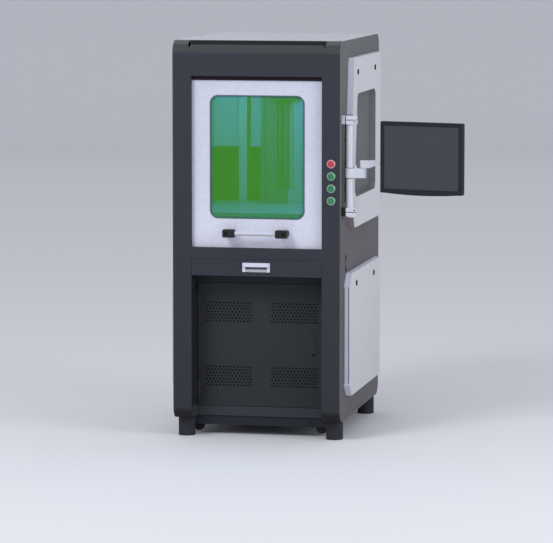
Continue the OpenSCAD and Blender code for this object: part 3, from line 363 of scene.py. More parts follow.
# the low colour is painted light and shade by height: most coats darker towards the floor, the white door
# lighter lower down
coats = {        # the colour, the one it fades to between two heights, and what differs from the plain coat
    "charcoalFront": {"colour": "#373A41", "low": "#33353A", "cloudMm": 240,
                      # painted reflection: a lighter band on the rolled top edge, where the sky shows in it
                      "patches": [{"z": (1636, 1668), "soft": 6, "colour": "#414345"},
                                  # painted sheen: the posts' tops lighter at a grazing angle; painted shade:
                                  # the face between them, under the roof's edge, darker
                                  {"y": (-480, -380), "z": (1670, 1700), "soft": 3, "colour": "#54575A"},
                                  {"x": (-288, 288), "y": (-480, -380), "z": (1668, 1700), "soft": 2,
                                   "colour": "#2D3032"},
                                  # painted shade: darker and warmer at the bottom, where the frame turns
                                  # under towards the floor
                                  {"z": (0, 112), "soft": 14, "colour": "#2A2627"}]},
    "greySide": {"colour": "#65696A", "low": "#5F5A5D", "fade": (1.25, 0.85), "cloudMm": 260, "rough": 0.58,
                 "fleck": 0.06},
    "whiteDoor": {"colour": "#CED0E0", "low": "#DDDEEC", "fade": (1.25, 0.80), "grainMm": 12, "cloudMm": 180,
                  "rough": 0.55, "fleck": 0.05},
    "drawerPull": {"colour": "#D0D2E4", "low": "#CDCFE0", "grainMm": 12, "cloudMm": 180, "rough": 0.55,
                   # painted shade: the recess under the pull's hood is greyer than the pull
                   "fleck": 0.05, "patches": [{"x": (-46, 46), "y": (-472, -440), "z": (690, 735.5),
                                               "soft": 0.6, "colour": "#AFAFB9"}]},
    "paleCover": {"colour": "#CACBCF", "low": "#C5C4C8", "grainMm": 6, "cloudMm": 300, "rough": 0.5,
                  "fleck": 0.06,
                  # painted light: the front flanges are lighter than the face, as they face the light
                  "patches": [{"x": (-382.2, 382.2), "soft": 0.4, "colour": "#E0E0F0"},
                              # painted shade: the upper covers' slanted lower flange, brownish grey
                              {"x": (-382.2, 382.2), "z": (880, 956), "soft": 0.4, "colour": "#998C8E"},
                              # painted shade: the deep slit in the right lower cover's groove, near-black
                              {"x": (377.9, 380.6), "y": (-379.6, -370), "z": (230, 650), "soft": 0.3,
                               "colour": "#1C1C22"},
                              {"x": (-382.2, 382.2), "y": (-272, 258), "z": (1008, 1462), "soft": 0.4,
                               "colour": "#84888A"}]},
    "paleRoof": {"colour": "#B7BBC4", "cloudMm": 220, "reliefMm": 0.08, "rough": 0.5, "fleck": 0.06},
    # painted shade: the recess walls are darker and warmer than the front frame, as the recess lies in shade;
    # the plinth and the lintel face forward and keep a lighter tone
    "recessWalls": {"colour": "#29272B", "reliefMm": 0.08,
                    "patches": [{"z": (60, 128), "soft": 3, "colour": "#3A3D42"},
                                {"x": (-279, 279), "z": (640, 720), "soft": 3, "colour": "#303337"}]},
    "darkDoor": {"colour": "#35393D", "low": "#303336"},
    "blackChassis": {"colour": "#2B2E35", "grainMm": 4, "cloudMm": 160, "reliefMm": 0.08, "rough": 0.55},
    "greyLiner": {"colour": "#9DA1A7", "cloudMm": 260, "reliefMm": 0.08, "rough": 0.5, "fleck": 0.05,
                  # painted light: the chamber floor is much lighter, against the shade that the table casts
                  # on it from the lamp above
                  "patches": [{"z": (800, 817), "soft": 2, "colour": "#DCDEE2"}]},
    "greyRear": {"colour": "#5E6064", "low": "#57595C", "rough": 0.58},
    "greyUnit": {"colour": "#54585E", "low": "#4C5056", "grainMm": 4, "cloudMm": 150, "reliefMm": 0.08,
                 "rough": 0.52},
    "columnCoat": {"colour": "#4A4D51", "low": "#484B4F", "reliefMm": 0.08, "rough": 0.5, "fleck": 0.05,
                   "patches": [{"x": (12, 140), "soft": 1, "colour": "#8A8E92"}]},
    "headCoat": {"colour": "#2E3136", "low": "#2A2C30", "grainMm": 4, "cloudMm": 120, "reliefMm": 0.08,
                 "rough": 0.5},
}


def powderCoat(name, spec):
    # powder coat on folded steel, sprayed and baked: a low sheen over a fine sandy grain, clouded a little
    # its real grain is about 0.3 mm, drawn coarser so that it shows
    made, tree, shader, place = newFinish("powderCoat_" + name)
    grain = noise(tree, place, 1000 / spec["grainMm"], 3, Roughness=0.6)
    cloud = noise(tree, place, 1000 / spec["cloudMm"], 2)
    height = put(tree, "SeparateXYZ", {0: place}).outputs["Z"]
    # painted light and shade by height: the colour turns to the low colour between the two given heights
    heightShade = ramp(tree, height, *spec["fade"], 0.0, 0.85)
    where = maths(tree, "ADD", heightShade, ramp(tree, cloud, 0.3, 0.7, -0.15, 0.15), use_clamp=True)
    base = mixed(tree, where, fromHex(spec["colour"]), fromHex(spec.get("low", spec["colour"])))
    base = patched(tree, place, base, spec.get("patches", ()))
    speck = ramp(tree, grain, 0.32, 0.68, 1 - spec["fleck"], 1 + spec["fleck"])
    tone = put(tree, "VectorMath", {0: base, 3: speck}, operation="SCALE").outputs[0]
    sheen = ramp(tree, grain, 0.3, 0.7, spec["rough"] - 0.07, spec["rough"] + 0.07)
    setShader(tree, shader, baseColor=tone, roughness=sheen, specularIORLevel=0.12,
              normal=relief(tree, grain, spec["reliefMm"], 0.6))
    return made


plainMetal = {"markMm": 1, "run": None, "stretch": 60, "depthMm": 0.01}
castAlloy = {"colour": "#D6D8E2", "markMm": 3, "depthMm": 0.05, "rough": 0.46, "metal": 0.35}

metals = {        # colour, spacing of the marks and the way they run, how deep and how rough
    "anodisedBar": {"colour": "#C6C4CC", "markMm": 1.2, "run": "x", "depthMm": 0.02,
                    "rough": 0.52, "metal": 0.3},
    "anodisedTube": {"colour": "#DADBE5", "markMm": 1.2, "run": "z", "depthMm": 0.02,
                     "rough": 0.4, "metal": 0.45},
    "castClamp": castAlloy,
    "poleClamp": {**castAlloy,
                  "patches": [{"x": (350, 375.5), "z": (940, 1003), "soft": 0.5, "colour": "#1D1E21"},
                              {"x": (375.3, 378.4), "soft": 0.4, "colour": "#2C2C31"},
                              {"x": (377, 430), "z": (970.3, 972.7), "soft": 0.3, "colour": "#2C2C31"},
                              {"x": (377, 430), "z": (1356.3, 1358.7), "soft": 0.3, "colour": "#2C2C31"}]},
    "millTable": {"colour": "#92959B", "markMm": 2, "run": "x", "depthMm": 0.03,
                  "rough": 0.42, "metal": 0.55},
    "groundRail": {"colour": "#C2C5CA", "markMm": 0.8, "run": "z", "rough": 0.26, "metal": 0.95},
    # painted shade: the drawer rails are near-black so that the slot in the right side plate shows dark
    # behind it
    "blackRail": {"colour": "#26282C", "run": "y", "rough": 0.44, "metal": 0.5},
    "zincScrew": {"colour": "#A9ABB0", "rough": 0.34, "metal": 0.9},
    "blackScrew": {"colour": "#232427", "rough": 0.42, "metal": 0.6},
    "turnedBezel": {"colour": "#A2C2B0", "markMm": 0.9, "rough": 0.32, "metal": 0.4,
                    "patches": [{"z": (1148, 1250), "soft": 1, "colour": "#DBB8B8"}]},
    "milledHead": {"colour": "#4A4D52", "markMm": 1.4, "run": "x", "depthMm": 0.02,
                   "rough": 0.4, "metal": 0.6},
}


def workedMetal(name, spec):
    # aluminium, zinc or steel, drawn, ground or cast: fine marks along the way it was worked, uneven gloss
    # real marks are a few hundredths of a millimetre apart, drawn at markMm so that they show
    made, tree, shader, place = newFinish("metal_" + name)
    fine = 1000 / spec["markMm"]
    long = fine / spec["stretch"]
    scale = [long if axis == spec["run"] else fine for axis in "xyz"]
    marks = put(tree, "Mapping", {"Vector": place, "Scale": scale}).outputs[0]
    scratch = noise(tree, marks, 1.0, 3, Roughness=0.6)
    tone, dull = toned(tree, scratch, spec["colour"], 0.1), fromHex(spec["colour"], 0.97)
    base = mixed(tree, noise(tree, place, 12, 2), tone, dull)
    base = patched(tree, place, base, spec.get("patches", ()))
    sheen = ramp(tree, scratch, 0.3, 0.7, spec["rough"] - 0.08, spec["rough"] + 0.08)
    setShader(tree, shader, baseColor=base, metallic=spec["metal"], roughness=sheen,
              normal=relief(tree, scratch, spec["depthMm"]))
    return made


plainPlastic = {"grainMm": 2, "reliefMm": 0.03, "spec": 0.35}
keyCap = {"grainMm": 6, "reliefMm": 0.01, "rough": 0.3, "spec": 0.4}

plastics = {        # colour and gloss, and what differs from the plain texture and its relief
    "blackGrip": {"colour": "#1B1D20", "grainMm": 2.5, "reliefMm": 0.06, "rough": 0.48},
    "bezelAbs": {"colour": "#1F2126", "reliefMm": 0.04, "rough": 0.52, "spec": 0.22},
    "latchAbs": {"colour": "#1F2124", "reliefMm": 0.05, "rough": 0.5, "spec": 0.25},
    "lockPlug": {"colour": "#0D0E10", "rough": 0.66, "spec": 0.08},
    "latchGrey": {"colour": "#303336", "reliefMm": 0.05, "rough": 0.55, "spec": 0.2},
    "capRed": {"colour": "#C83C50", **keyCap},
    "capGreen": {"colour": "#328056", **keyCap},
    "bushAcetal": {"colour": "#2A2C30", "grainMm": 3, "reliefMm": 0.02, "rough": 0.42},
    "ductPvc": {"colour": "#A5A59F", "grainMm": 3, "rough": 0.52, "spec": 0.3},
    "filterFrame": {"colour": "#0E0F11", "grainMm": 3, "rough": 0.55, "spec": 0.2},
    "glandPolyamide": {"colour": "#2B2D31", "rough": 0.46},
    "cableJacket": {"colour": "#1A1B1E", "reliefMm": 0.02, "rough": 0.5, "spec": 0.3},
    "clearLamp": {"colour": "#8FB7A6", "grainMm": 3, "reliefMm": 0.01, "rough": 0.2, "spec": 0.5},
    "wiperRubber": {"colour": "#241C22", "grainMm": 2.5, "reliefMm": 0.05, "rough": 0.78, "spec": 0.15},
    "lensBarrel": {"colour": "#1B1C1F", "grainMm": 1.5, "reliefMm": 0.02, "rough": 0.36, "spec": 0.45},
    "wheelPu": {"colour": "#232427", "grainMm": 2.5, "rough": 0.56},
    "footRubber": {"colour": "#303036", "grainMm": 3, "reliefMm": 0.08, "rough": 0.74, "spec": 0.18},
    "sealRubber": {"colour": "#486561", "reliefMm": 0.08, "rough": 0.82, "spec": 0.1},
}


def mouldedPlastic(name, spec):
    # ABS, acetal, polyurethane or rubber, moulded against an eroded tool: an even pebble and a soft sheen
    # the real pebble is about 0.1 mm, drawn at grainMm so that it shows
    made, tree, shader, place = newFinish("moulded_" + name)
    cells = put(tree, "TexVoronoi", {"Vector": place, "Scale": 1000 / spec["grainMm"]}, feature="SMOOTH_F1")
    pebble = cells.outputs[0]
    tone = toned(tree, noise(tree, place, 30, 2), spec["colour"], 0.08)
    dull = ramp(tree, pebble, 0.0, 1.0, spec["rough"] - 0.05, spec["rough"] + 0.07)
    setShader(tree, shader, baseColor=tone, roughness=dull, specularIORLevel=spec["spec"],
              normal=relief(tree, pebble, spec["reliefMm"]))
    return made


laserWindow = {"dye": "#70D042", "glass": "#A5D0FF", "through": 0.707, "rough": 0.20, "streakMm": 130}


def dyedAcrylic(spec):
    # laser-safety acrylic, dyed through and polished: part glow of its green dye, part sight of the chamber
    # light crosses both faces of the pane, so each takes out the square root of what the whole pane does
    made, tree, shader, place = newFinish("dyedAcrylic_window")
    tone = toned(tree, noise(tree, place, 1000 / spec["streakMm"], 1), spec["dye"], 0.04)
    setShader(tree, shader, baseColor=tone, roughness=spec["rough"], specularIORLevel=0.12)
    clear = put(tree, "BsdfTransparent", {"Color": fromHex(spec["glass"])})
    both = put(tree, "MixShader", {0: spec["through"], 1: shader.outputs[0], 2: clear.outputs[0]})
    tree.links.new(both.outputs[0], tree.nodes["Material Output"].inputs["Surface"])
    return made


screenGlass = {"colour": "#3E4145", "grainMm": 1.5}


def antiglareScreen(spec):
    # switched-off display under etched glass: near-black grey with a wide, soft sheen
    made, tree, shader, place = newFinish("etchedGlass_screen")
    sparkle = noise(tree, place, 1000 / spec["grainMm"], 2)
    setShader(tree, shader, baseColor=toned(tree, sparkle, spec["colour"], 0.06), specularIORLevel=0.25,
              roughness=ramp(tree, sparkle, 0.0, 1.0, 0.32, 0.46), coatWeight=0.1, coatRoughness=0.3)
    return made


lightBar = {"colour": "#F2F6FF", "level": 6.0, "chipM": 0.025}


def ledDiffuser(spec):
    # opal acrylic over a strip of LEDs: bright over the chips, a little dimmer between them
    made, tree, shader, place = newFinish("opalAcrylic_light")
    across = put(tree, "SeparateXYZ", {0: place}).outputs["X"]
    wave = maths(tree, "COSINE", maths(tree, "MULTIPLY", across, 2 * math.pi / spec["chipM"]))
    glow = ramp(tree, wave, -1.0, 1.0, 0.85, 1.0)
    tone = put(tree, "VectorMath", {0: fromHex(spec["colour"])[:3], 3: glow}, operation="SCALE")
    setShader(tree, shader, baseColor=fromHex("#E8EAEE"), roughness=0.5, emissionColor=tone.outputs[0],
              emissionStrength=spec["level"])
    return made


papers = {
    # painted shade: the mats behind the lower door's vents are near-black, so that the vents show dark
    "bayMat": {"colour": "#1C1E20", "fibreMm": 2},
    "chamberMat": {"colour": "#0D0F10", "fibreMm": 2},
}


def pleatedPaper(name, spec):
    # resin-bonded filter paper, folded: matt and fibrous
    made, tree, shader, place = newFinish("filterPaper_" + name)
    fibre = noise(tree, place, 1000 / spec["fibreMm"], 4, Distortion=1.5)
    setShader(tree, shader, baseColor=toned(tree, fibre, spec["colour"], 0.2), roughness=0.9,
              specularIORLevel=0.1, normal=relief(tree, fibre, 0.2))
    return made


lensCoat = {"colour": "#3B2A4E", "patchMm": 9}


def coatedGlass(spec):
    # anti-reflection coated optical glass: dark with a faint, uneven violet bloom
    made, tree, shader, place = newFinish("coatedGlass_lens")
    centred = put(tree, "Mapping", {"Vector": place, "Location": (0, 0.180, 0)}).outputs[0]
    tone = toned(tree, noise(tree, centred, 1000 / spec["patchMm"], 1), spec["colour"], 0.3)
    setShader(tree, shader, baseColor=tone, roughness=0.06, specularIORLevel=0.6, coatWeight=1.0,
              coatRoughness=0.03)
    return made


coat = {name: powderCoat(name, {**plainCoat, **spec}) for name, spec in coats.items()}
metal = {name: workedMetal(name, {**plainMetal, **spec}) for name, spec in metals.items()}
plastic = {name: mouldedPlastic(name, {**plainPlastic, **spec}) for name, spec in plastics.items()}
paper = {name: pleatedPaper(name, spec) for name, spec in papers.items()}
print("finishes:", len(bpy.data.materials))

makeCamera(camera)
makeRoom(room)
makeLamps(lamps)
print("room, lamps and camera made")


# Finishes on the CAD's own solids

corners = [row + "_" + side for row in ("front", "rear") for side in ("left", "right")]

worn = {
    coat["charcoalFront"]: ("front_frame", "rear_panel", "roof_panel", "keyboard_drawer"),
    coat["greySide"]: ("side_plate_left", "side_plate_right"),
    coat["paleRoof"]: ("top_cover",),
    coat["blackChassis"]: ("base_frame", "door_hinges", *("caster_fork_" + corner for corner in corners)),
    plastic["footRubber"]: ("machine_feet",),
    coat["greyLiner"]: ("chamber_liner",),
    coat["recessWalls"]: ("recess_frame",),
    coat["darkDoor"]: ("lower_door",),
    coat["whiteDoor"]: ("lift_door",),
    coat["drawerPull"]: ("drawer_pull",),
    dyedAcrylic(laserWindow): ("door_window",),
    plastic["sealRubber"]: ("window_gasket",),
    metal["anodisedBar"]: ("handle_bar",),
    plastic["blackGrip"]: ("handle_blocks",),
    metal["groundRail"]: ("door_rails",),
    metal["blackRail"]: ("drawer_rails",),
    metal["poleClamp"]: ("pole_clamps",),
    metal["castClamp"]: ("stub_arm", "upper_arm", "tilt_head"),
    metal["milledHead"]: ("z_carriage", "door_carriages"),
    plastic["latchGrey"]: ("latch_housing", "latch_lever"),
    plastic["lockPlug"]: ("upper_lock_front", "upper_lock_rear", "lower_lock_front", "lower_lock_rear"),
    metal["turnedBezel"]: ("button_bezels",),
    plastic["capRed"]: ("button_red",),
    plastic["capGreen"]: ("button_green_1", "button_green_2", "button_green_3"),
    coat["paleCover"]: ("upper_cover_right", "lower_cover_right", "upper_cover_left", "lower_cover_left"),
    metal["anodisedTube"]: ("pole",),
    plastic["bushAcetal"]: ("arm_bush",),
    plastic["bezelAbs"]: ("monitor_housing",),
    antiglareScreen(screenGlass): ("monitor_screen",),
    metal["millTable"]: ("work_table",),
    coat["columnCoat"]: ("z_column",),
    coat["headCoat"]: ("marking_head",),
    plastic["lensBarrel"]: ("scan_lens",),
    plastic["wheelPu"]: ["caster_wheel_" + corner for corner in corners],
    coat["greyRear"]: ("rear_cover",),
    coat["greyUnit"]: ("control_unit",),
}


def dressNodes(choices):
    for finish, names in choices.items():
        for name in names:
            if not nodes[name].material_slots:
                nodes[name].data.materials.append(finish)
            for place in nodes[name].material_slots:
                place.material = finish
    bare = sorted(set(nodes) - {name for names in choices.values() for name in names})
    print("nodes dressed:", len(nodes) - len(bare), "bare:", bare)


dressNodes(worn)


# Fasteners: each head is a profile turned about its own axis, then set down at its places

heads = {        # radius, height, key across flats, key depth and how much of the height is domed
    "m6Cap": {"r": 5, "h": 6, "key": 5, "deep": 3, "dome": 0.5},
    "m5Button": {"r": 4.6, "h": 2.6, "key": 3, "deep": 1.5, "dome": 1.5},
    "m4Button": {"r": 3.7, "h": 1.9, "key": 2.5, "deep": 1.2, "dome": 1.1},
    "m4Cap": {"r": 2.95, "h": 4, "key": 3, "deep": 2, "dome": 0.4},
}

leftHoles = ((-197, 1547), (229, 1547), (-220, 649), (208, 649))
rearPlaces = everyPlace((-268, 0, 268), (472,), (182, 672)) + everyPlace((-268, 268), (472,), (427,))

screws = {        # head, finish, body, the way it faces, and its places
    "handleScrews": ("m6Cap", "blackScrew", "safety_door", "-y", everyPlace((-123, 123), (-495,), (877,))),
    "clampPinchScrews": ("m4Cap", "blackScrew", "cabinet", "-y",
                         everyPlace((415.5,), (-448.1,), (980.5, 1348.5))),
    "leftCoverScrews": ("m5Button", "blackScrew", "cabinet", "-x", [(-384, y, z) for y, z in leftHoles]),
    "rearCoverScrews": ("m5Button", "zincScrew", "cabinet", "+y", rearPlaces),
    "roofScrews": ("m5Button", "zincScrew", "cabinet", "+z",
                   everyPlace((-345, 345), (-400, 2, 404), (1685.5,))),
    "hingeScrewsWall": ("m4Button", "blackScrew", "cabinet", "+x",
                        everyPlace((-278,), (-387,), (164, 196, 228, 550, 582, 614))),
    "hingeScrewsDoor": ("m4Button", "blackScrew", "bay_door", "-y",
                        everyPlace((-246,), (-359,), (188, 204, 574, 590))),
    "exhaustScrews": ("m5Button", "zincScrew", "cabinet", "+y", fourRound(-200, 473, 1504, 48)),
    "columnScrews": ("m6Cap", "blackScrew", "cabinet", "+z", everyPlace((-118, 118), (142,), (826,))),
    "carriageScrews": ("m5Button", "blackScrew", "laser_axis", "-y",
                       everyPlace((-63, 63), (138,), (1412, 1440, 1470))),
}


def screwHead(spec):
    # up the side, over the dome, down into the hexagonal key
    r, h, key, dome = spec["r"], spec["h"], spec["key"] / 2, spec["dome"]
    profile = [(0, 0), (r, 0), (r, h - dome), (r * 0.93, h - dome * 0.45), (r * 0.82, h - dome * 0.14),
               (r * 0.70, h), (key * 1.14, h), (key, h - 0.25), (key, h - spec["deep"]),
               (0, h - spec["deep"] - 0.4)]
    return turned(profile, 24, hexed=(6, 7, 8))


def hexNut(r, h, bolt):
    # chamfered hexagon with the bolt's end standing out of it
    return turned([(0, 0), (r * 0.9, 0), (r, h * 0.15), (r, h * 0.85), (r * 0.9, h), (bolt, h),
                   (bolt, h + 0.8), (bolt - 0.5, h + 1.2), (0, h + 1.2)], 24, hexed=(1, 2, 3, 4))


def fasten(name, head, finish, body, axis, places):
    gridMesh(name, facing(screwHead(heads[head]), places, axis), metal[finish], body)


for name, choice in screws.items():
    fasten(name, *choice)
print("screws driven")


# Wiper under the fascia: a rubber strip that the lift door runs behind

wiper = {"halfWidth": 279.4, "low": 1518.5, "high": 1536, "front": -456.5, "back": -450.2}


def makeWiper(spec):
    # outline across its thickness, widest where it is clamped, thin at the lip; carried along x
    front, back, low, high = spec["front"], spec["back"], spec["low"], spec["high"]
    outline = [(front, high), (front, low + 6), (front + 1.2, low + 3.4), (back - 2.2, low),
               (back - 0.4, low), (back, low + 3), (back, high)]
    gridMesh("fasciaWiper", extruded(outline, -spec["halfWidth"], spec["halfWidth"], "x"),
             plastic["wiperRubber"], bevel=0.3)


makeWiper(wiper)


# Filter mats behind the door's vents and in the chamber: paper folded as a triangle wave across each mat

ventMats = {"x": (-142.5, 142.5), "z": (253.5, 528.5), "width": 214, "height": 96, "front": -354.6,
            "back": -350.3, "pleatMm": 8.9, "fold": 3.4}
chamberFilters = {
    "Left": {"x": -288.5, "width": 112, "front": 236},
    "Right": {"x": -160.5, "width": 47, "front": 262},
    "z": (952, 1189),
    "back": 287.6,
    "pleatMm": 9.2,
    "fold": 8,
}


def pleated(width, low, high, pleatMm, front, back, fold):
    # seen from above, a zigzag between front and front + fold before a straight back; a section at every fold
    count = 2 * round(width / pleatMm) + 1
    x = np.linspace(-width / 2, width / 2, count)
    y = np.column_stack([front + fold * (np.arange(count) % 2)] * 2 + [np.full(count, back)] * 2)
    return closedEnds(np.stack([np.tile(x[:, None], 4), y, np.tile([low, high, high, low], (count, 1))], -1))


def makeVentMats(spec):
    half = spec["height"] / 2
    mat = pleated(spec["width"], -half, half, spec["pleatMm"], spec["front"], spec["back"], spec["fold"])
    # near-black paper: painted shade of the bay behind the vents
    gridMesh("ventMats", facing(mat, everyPlace(spec["x"], (0,), spec["z"]), "+z"), paper["bayMat"],
             "bay_door", crease=20)


def makeChamberFilters(spec):
    (low, high), rear = spec["z"], spec["back"]
    for side in ("Left", "Right"):
        x, width, front = (spec[side][key] for key in ("x", "width", "front"))
        mat = pleated(width - 6, low + 3, high - 3, spec["pleatMm"], front + 5, rear - 4, spec["fold"])
        gridMesh("chamberFilter" + side, facing(mat, [(x, 0, 0)], "+z"), paper["chamberMat"], crease=20)
        deep = rear - front
        frame = slab(width, high - low, 3, [(0, 0), (0, deep), (3.4, deep), (3.4, 3), (3.8, 2)])
        gridMesh("filterFrame" + side, facing(frame, [(x, rear, (low + high) / 2)], "-y"),
                 plastic["filterFrame"])


makeVentMats(ventMats)
makeChamberFilters(chamberFilters)
print("filters folded")


# Wiring duct up the back of the chamber: slotted side walls, the slots as a square wave along the height

wiringDuct = {"x": -210, "halfWidth": 17.5, "z": (951, 1440), "front": 252, "back": 287.6, "slotMm": 12.5,
              "slotDepth": 2.2}


def makeWiringDuct(spec):
    # outline at height z: a box whose sides draw in wherever a slot opens; the lid stays straight
    low, high = spec["z"]
    half, front, back = spec["halfWidth"], spec["front"], spec["back"]
    steps = int((high - low) / spec["slotMm"])
    starts = low + spec["slotMm"] * (np.arange(steps)[:, None] + [0.0, 0.04, 0.5, 0.54]).ravel()
    levels = np.sort(np.concatenate([starts, [high]]))
    slot = np.append(np.tile([0.0, 1.0, 1.0, 0.0], steps), 0.0)
    outline = np.array([(-half, back), (-half, back - 5), (-half, front + 7), (-half - 1, front + 6),
                        (-half - 1, front + 1), (-half, front), (half, front), (half + 1, front + 1),
                        (half + 1, front + 6), (half, front + 7), (half, back - 5), (half, back)])
    side = np.zeros(len(outline))
    side[[1, 2, 9, 10]] = [1, 1, -1, -1]
    x = outline[:, 0] + spec["x"] + spec["slotDepth"] * slot[:, None] * side
    y = np.tile(outline[:, 1], (len(levels), 1))
    rows = np.stack([x, y, np.tile(levels[:, None], len(outline))], -1)
    gridMesh("wiringDuct", closedEnds(rows), plastic["ductPvc"])


makeWiringDuct(wiringDuct)


# Corrugated conduit beside the duct: the radius rises and falls as |sin| along the height

conduit = {"x": -187, "y": 282, "r": 4.2, "rib": 1, "pitchMm": 7, "z": (951, 1440)}


def makeConduit(spec):
    low, high = spec["z"]
    count = 4 * int((high - low) / spec["pitchMm"]) + 1
    z = np.linspace(low, high, count)
    r = spec["r"] + spec["rib"] * np.abs(np.sin(np.arange(count) * math.pi / 4))
    pipe = turned([(0, low), *zip(r, z), (0, high)], 14)
    gridMesh("chamberConduit", facing(pipe, [(spec["x"], spec["y"], 0)], "+z"), plastic["filterFrame"])


makeConduit(conduit)


# Chamber light: an aluminium holder with an opal cover under the ceiling, and a lamp for its light

ledBar = {"halfLength": 250, "y": -350, "halfWidth": 20, "top": 1623.6, "depth": 11, "bulge": 9}
chamberLamp = {"at": (0.0, -0.10, 1.585), "size": (0.60, 0.36), "watts": 9.5, "colour": "#FFFFFF"}


def makeLedBar(spec):
    y, half, top, reach = (spec[key] for key in ("y", "halfWidth", "top", "halfLength"))
    low = top - spec["depth"]
    holder = [(y - half, top), (y - half, low + 1), (y - half + 1, low), (y - half + 4, low),
              (y - half + 4, low + 4), (y + half - 4, low + 4), (y + half - 4, low), (y + half - 1, low),
              (y + half, low + 1), (y + half, top)]
    gridMesh("lightHolder", extruded(holder, -reach, reach, "x"), metal["anodisedBar"])
    # cover: half an ellipse hanging from the holder
    angle = np.linspace(0, math.pi, 15)
    bow = np.column_stack([y - (half - 4.4) * np.cos(angle), low + 3.6 - spec["bulge"] * np.sin(angle)])
    gridMesh("lightCover", extruded(bow, 4 - reach, reach - 4, "x"), ledDiffuser(lightBar))
    cap = slab(spec["depth"] + 8, 2 * half + 2, 4, [(0, 0), (0, 2.4), (0.6, 3)])
    for name, x, way in (("lightCapRight", reach, "+x"), ("lightCapLeft", -reach, "-x")):
        gridMesh(name, facing(cap, [(x, y, top - 9.6)], way), plastic["bezelAbs"])


makeLedBar(ledBar)
areaLamp("chamberLamp", chamberLamp)
print("chamber duct and light fitted")


# Lens glass: a shallow dome in the barrel's mouth, z = low + bulge * (r / R)^2

lensGlass = {"x": 0, "y": -180, "r": 31.4, "low": 1445.8, "bulge": 2, "back": 1448.2}


def makeLensGlass(spec):
    r = np.linspace(0, spec["r"], 10)
    dome = np.column_stack([r, spec["low"] + spec["bulge"] * (r / spec["r"]) ** 2])
    rim = np.array([[spec["r"], spec["back"]], [0, spec["back"]]])
    glass = turned(np.concatenate([dome, rim]), 48)
    gridMesh("lensGlass", glass + np.array([spec["x"], spec["y"], 0.0]), coatedGlass(lensCoat), "laser_axis")


makeLensGlass(lensGlass)


# Plugs in both ends of the pole: a rounded lid and a skirt with two sealing ribs

polePlug = {"x": 393.5, "y": -430, "ends": ((1376, "+z"), (948, "-z")), "lid": 15.6, "bore": 13.3}


def makePolePlugs(spec):
    lid, bore = spec["lid"], spec["bore"]
    profile = [(0, -9), (bore - 1.2, -9), (bore - 0.4, -7.5), (bore, -6), (bore - 0.8, -5), (bore, -3.4),
               (bore - 0.8, -2.4), (bore - 0.4, 0.1), (lid, 0.1), (lid, 1.2), (lid - 0.6, 2.0),
               (lid - 2.0, 2.4), (0, 2.6)]
    plugs = [facing(turned(profile, 40), [(spec["x"], spec["y"], z)], way)[0] for z, way in spec["ends"]]
    gridMesh("polePlugs", np.stack(plugs), plastic["bushAcetal"])


makePolePlugs(polePlug)


# Monitor: power key with its lamp, vents and sockets at the back, mounting screws

monitorParts = {"face": -108, "keyX": 31, "keyZ": 1067, "lampX": 43, "back": -63, "ventZ": 1278,
                "vents": 17, "ventMm": 9, "plate": -58, "middle": 1208, "holeMm": 37.5,
                "underY": -71, "underZ": 1120.5, "socketXs": (-45, 5), "jackX": 48}


def makeMonitorParts(spec):
    def onMonitor(name, shape, places, axis, finish):
        gridMesh(name, atWrist(facing(shape, places, axis)), finish, "monitor")

    face, keyZ = spec["face"], spec["keyZ"]
    key = slab(13, 4.4, 1.4, [(0, 0), (0, 0.5), (0.4, 0.9), (1.2, 1.0)])
    onMonitor("powerKey", key, [(spec["keyX"], face, keyZ)], "-y", plastic["latchAbs"])
    dot = slab(1.8, 1.8, 0.8, [(0, 0), (0, 0.25), (0.3, 0.4)])
    onMonitor("powerLamp", dot, [(spec["lampX"], face, keyZ)], "-y", plastic["clearLamp"])
    # vents: raised bars with round ends across the upper back
    bar = slab(3.6, 30, 1.7, [(0, 0), (0, 0.5), (0.6, 1.1)])
    across = (np.arange(spec["vents"]) - (spec["vents"] - 1) / 2) * spec["ventMm"]
    bars = [(x, spec["back"], spec["ventZ"]) for x in across]
    onMonitor("monitorVents", bar, bars, "+y", plastic["latchAbs"])
    # sockets under the housing: shells with a hollow
    under = (spec["underY"], spec["underZ"])
    shell = slab(30, 9, 3, [(0, -1), (0, 4.4), (0.7, 5), (1.4, 5), (1.6, 4.6), (1.8, 0.4)])
    onMonitor("monitorSockets", shell, [(x, *under) for x in spec["socketXs"]], "-z", metal["zincScrew"])
    jack = turned([(0, -1), (5.2, -1), (5.2, 4.0), (4.6, 4.6), (3.2, 4.6), (3.0, 4.2), (3.0, 0.6),
                   (0, 0.6)], 24)
    onMonitor("monitorJack", jack, [(spec["jackX"], *under)], "-z", plastic["latchAbs"])
    hole, middle = spec["holeMm"], spec["middle"]
    corners = everyPlace((-hole, hole), (spec["plate"],), (middle - hole, middle + hole))
    onMonitor("mountScrews", screwHead(heads["m4Button"]), corners, "+y", metal["blackScrew"])


makeMonitorParts(monitorParts)
print("lens, pole plugs and monitor parts made")


# Thin black cable on the right side: clipped flat to the plate between two grommets

sideCable = {"x": 360, "y": -370, "z": (1012, 1335), "r": 2.2, "bendR": 7, "lead": 8, "lift": 0.5,
             "clips": (1075, 1172, 1270)}


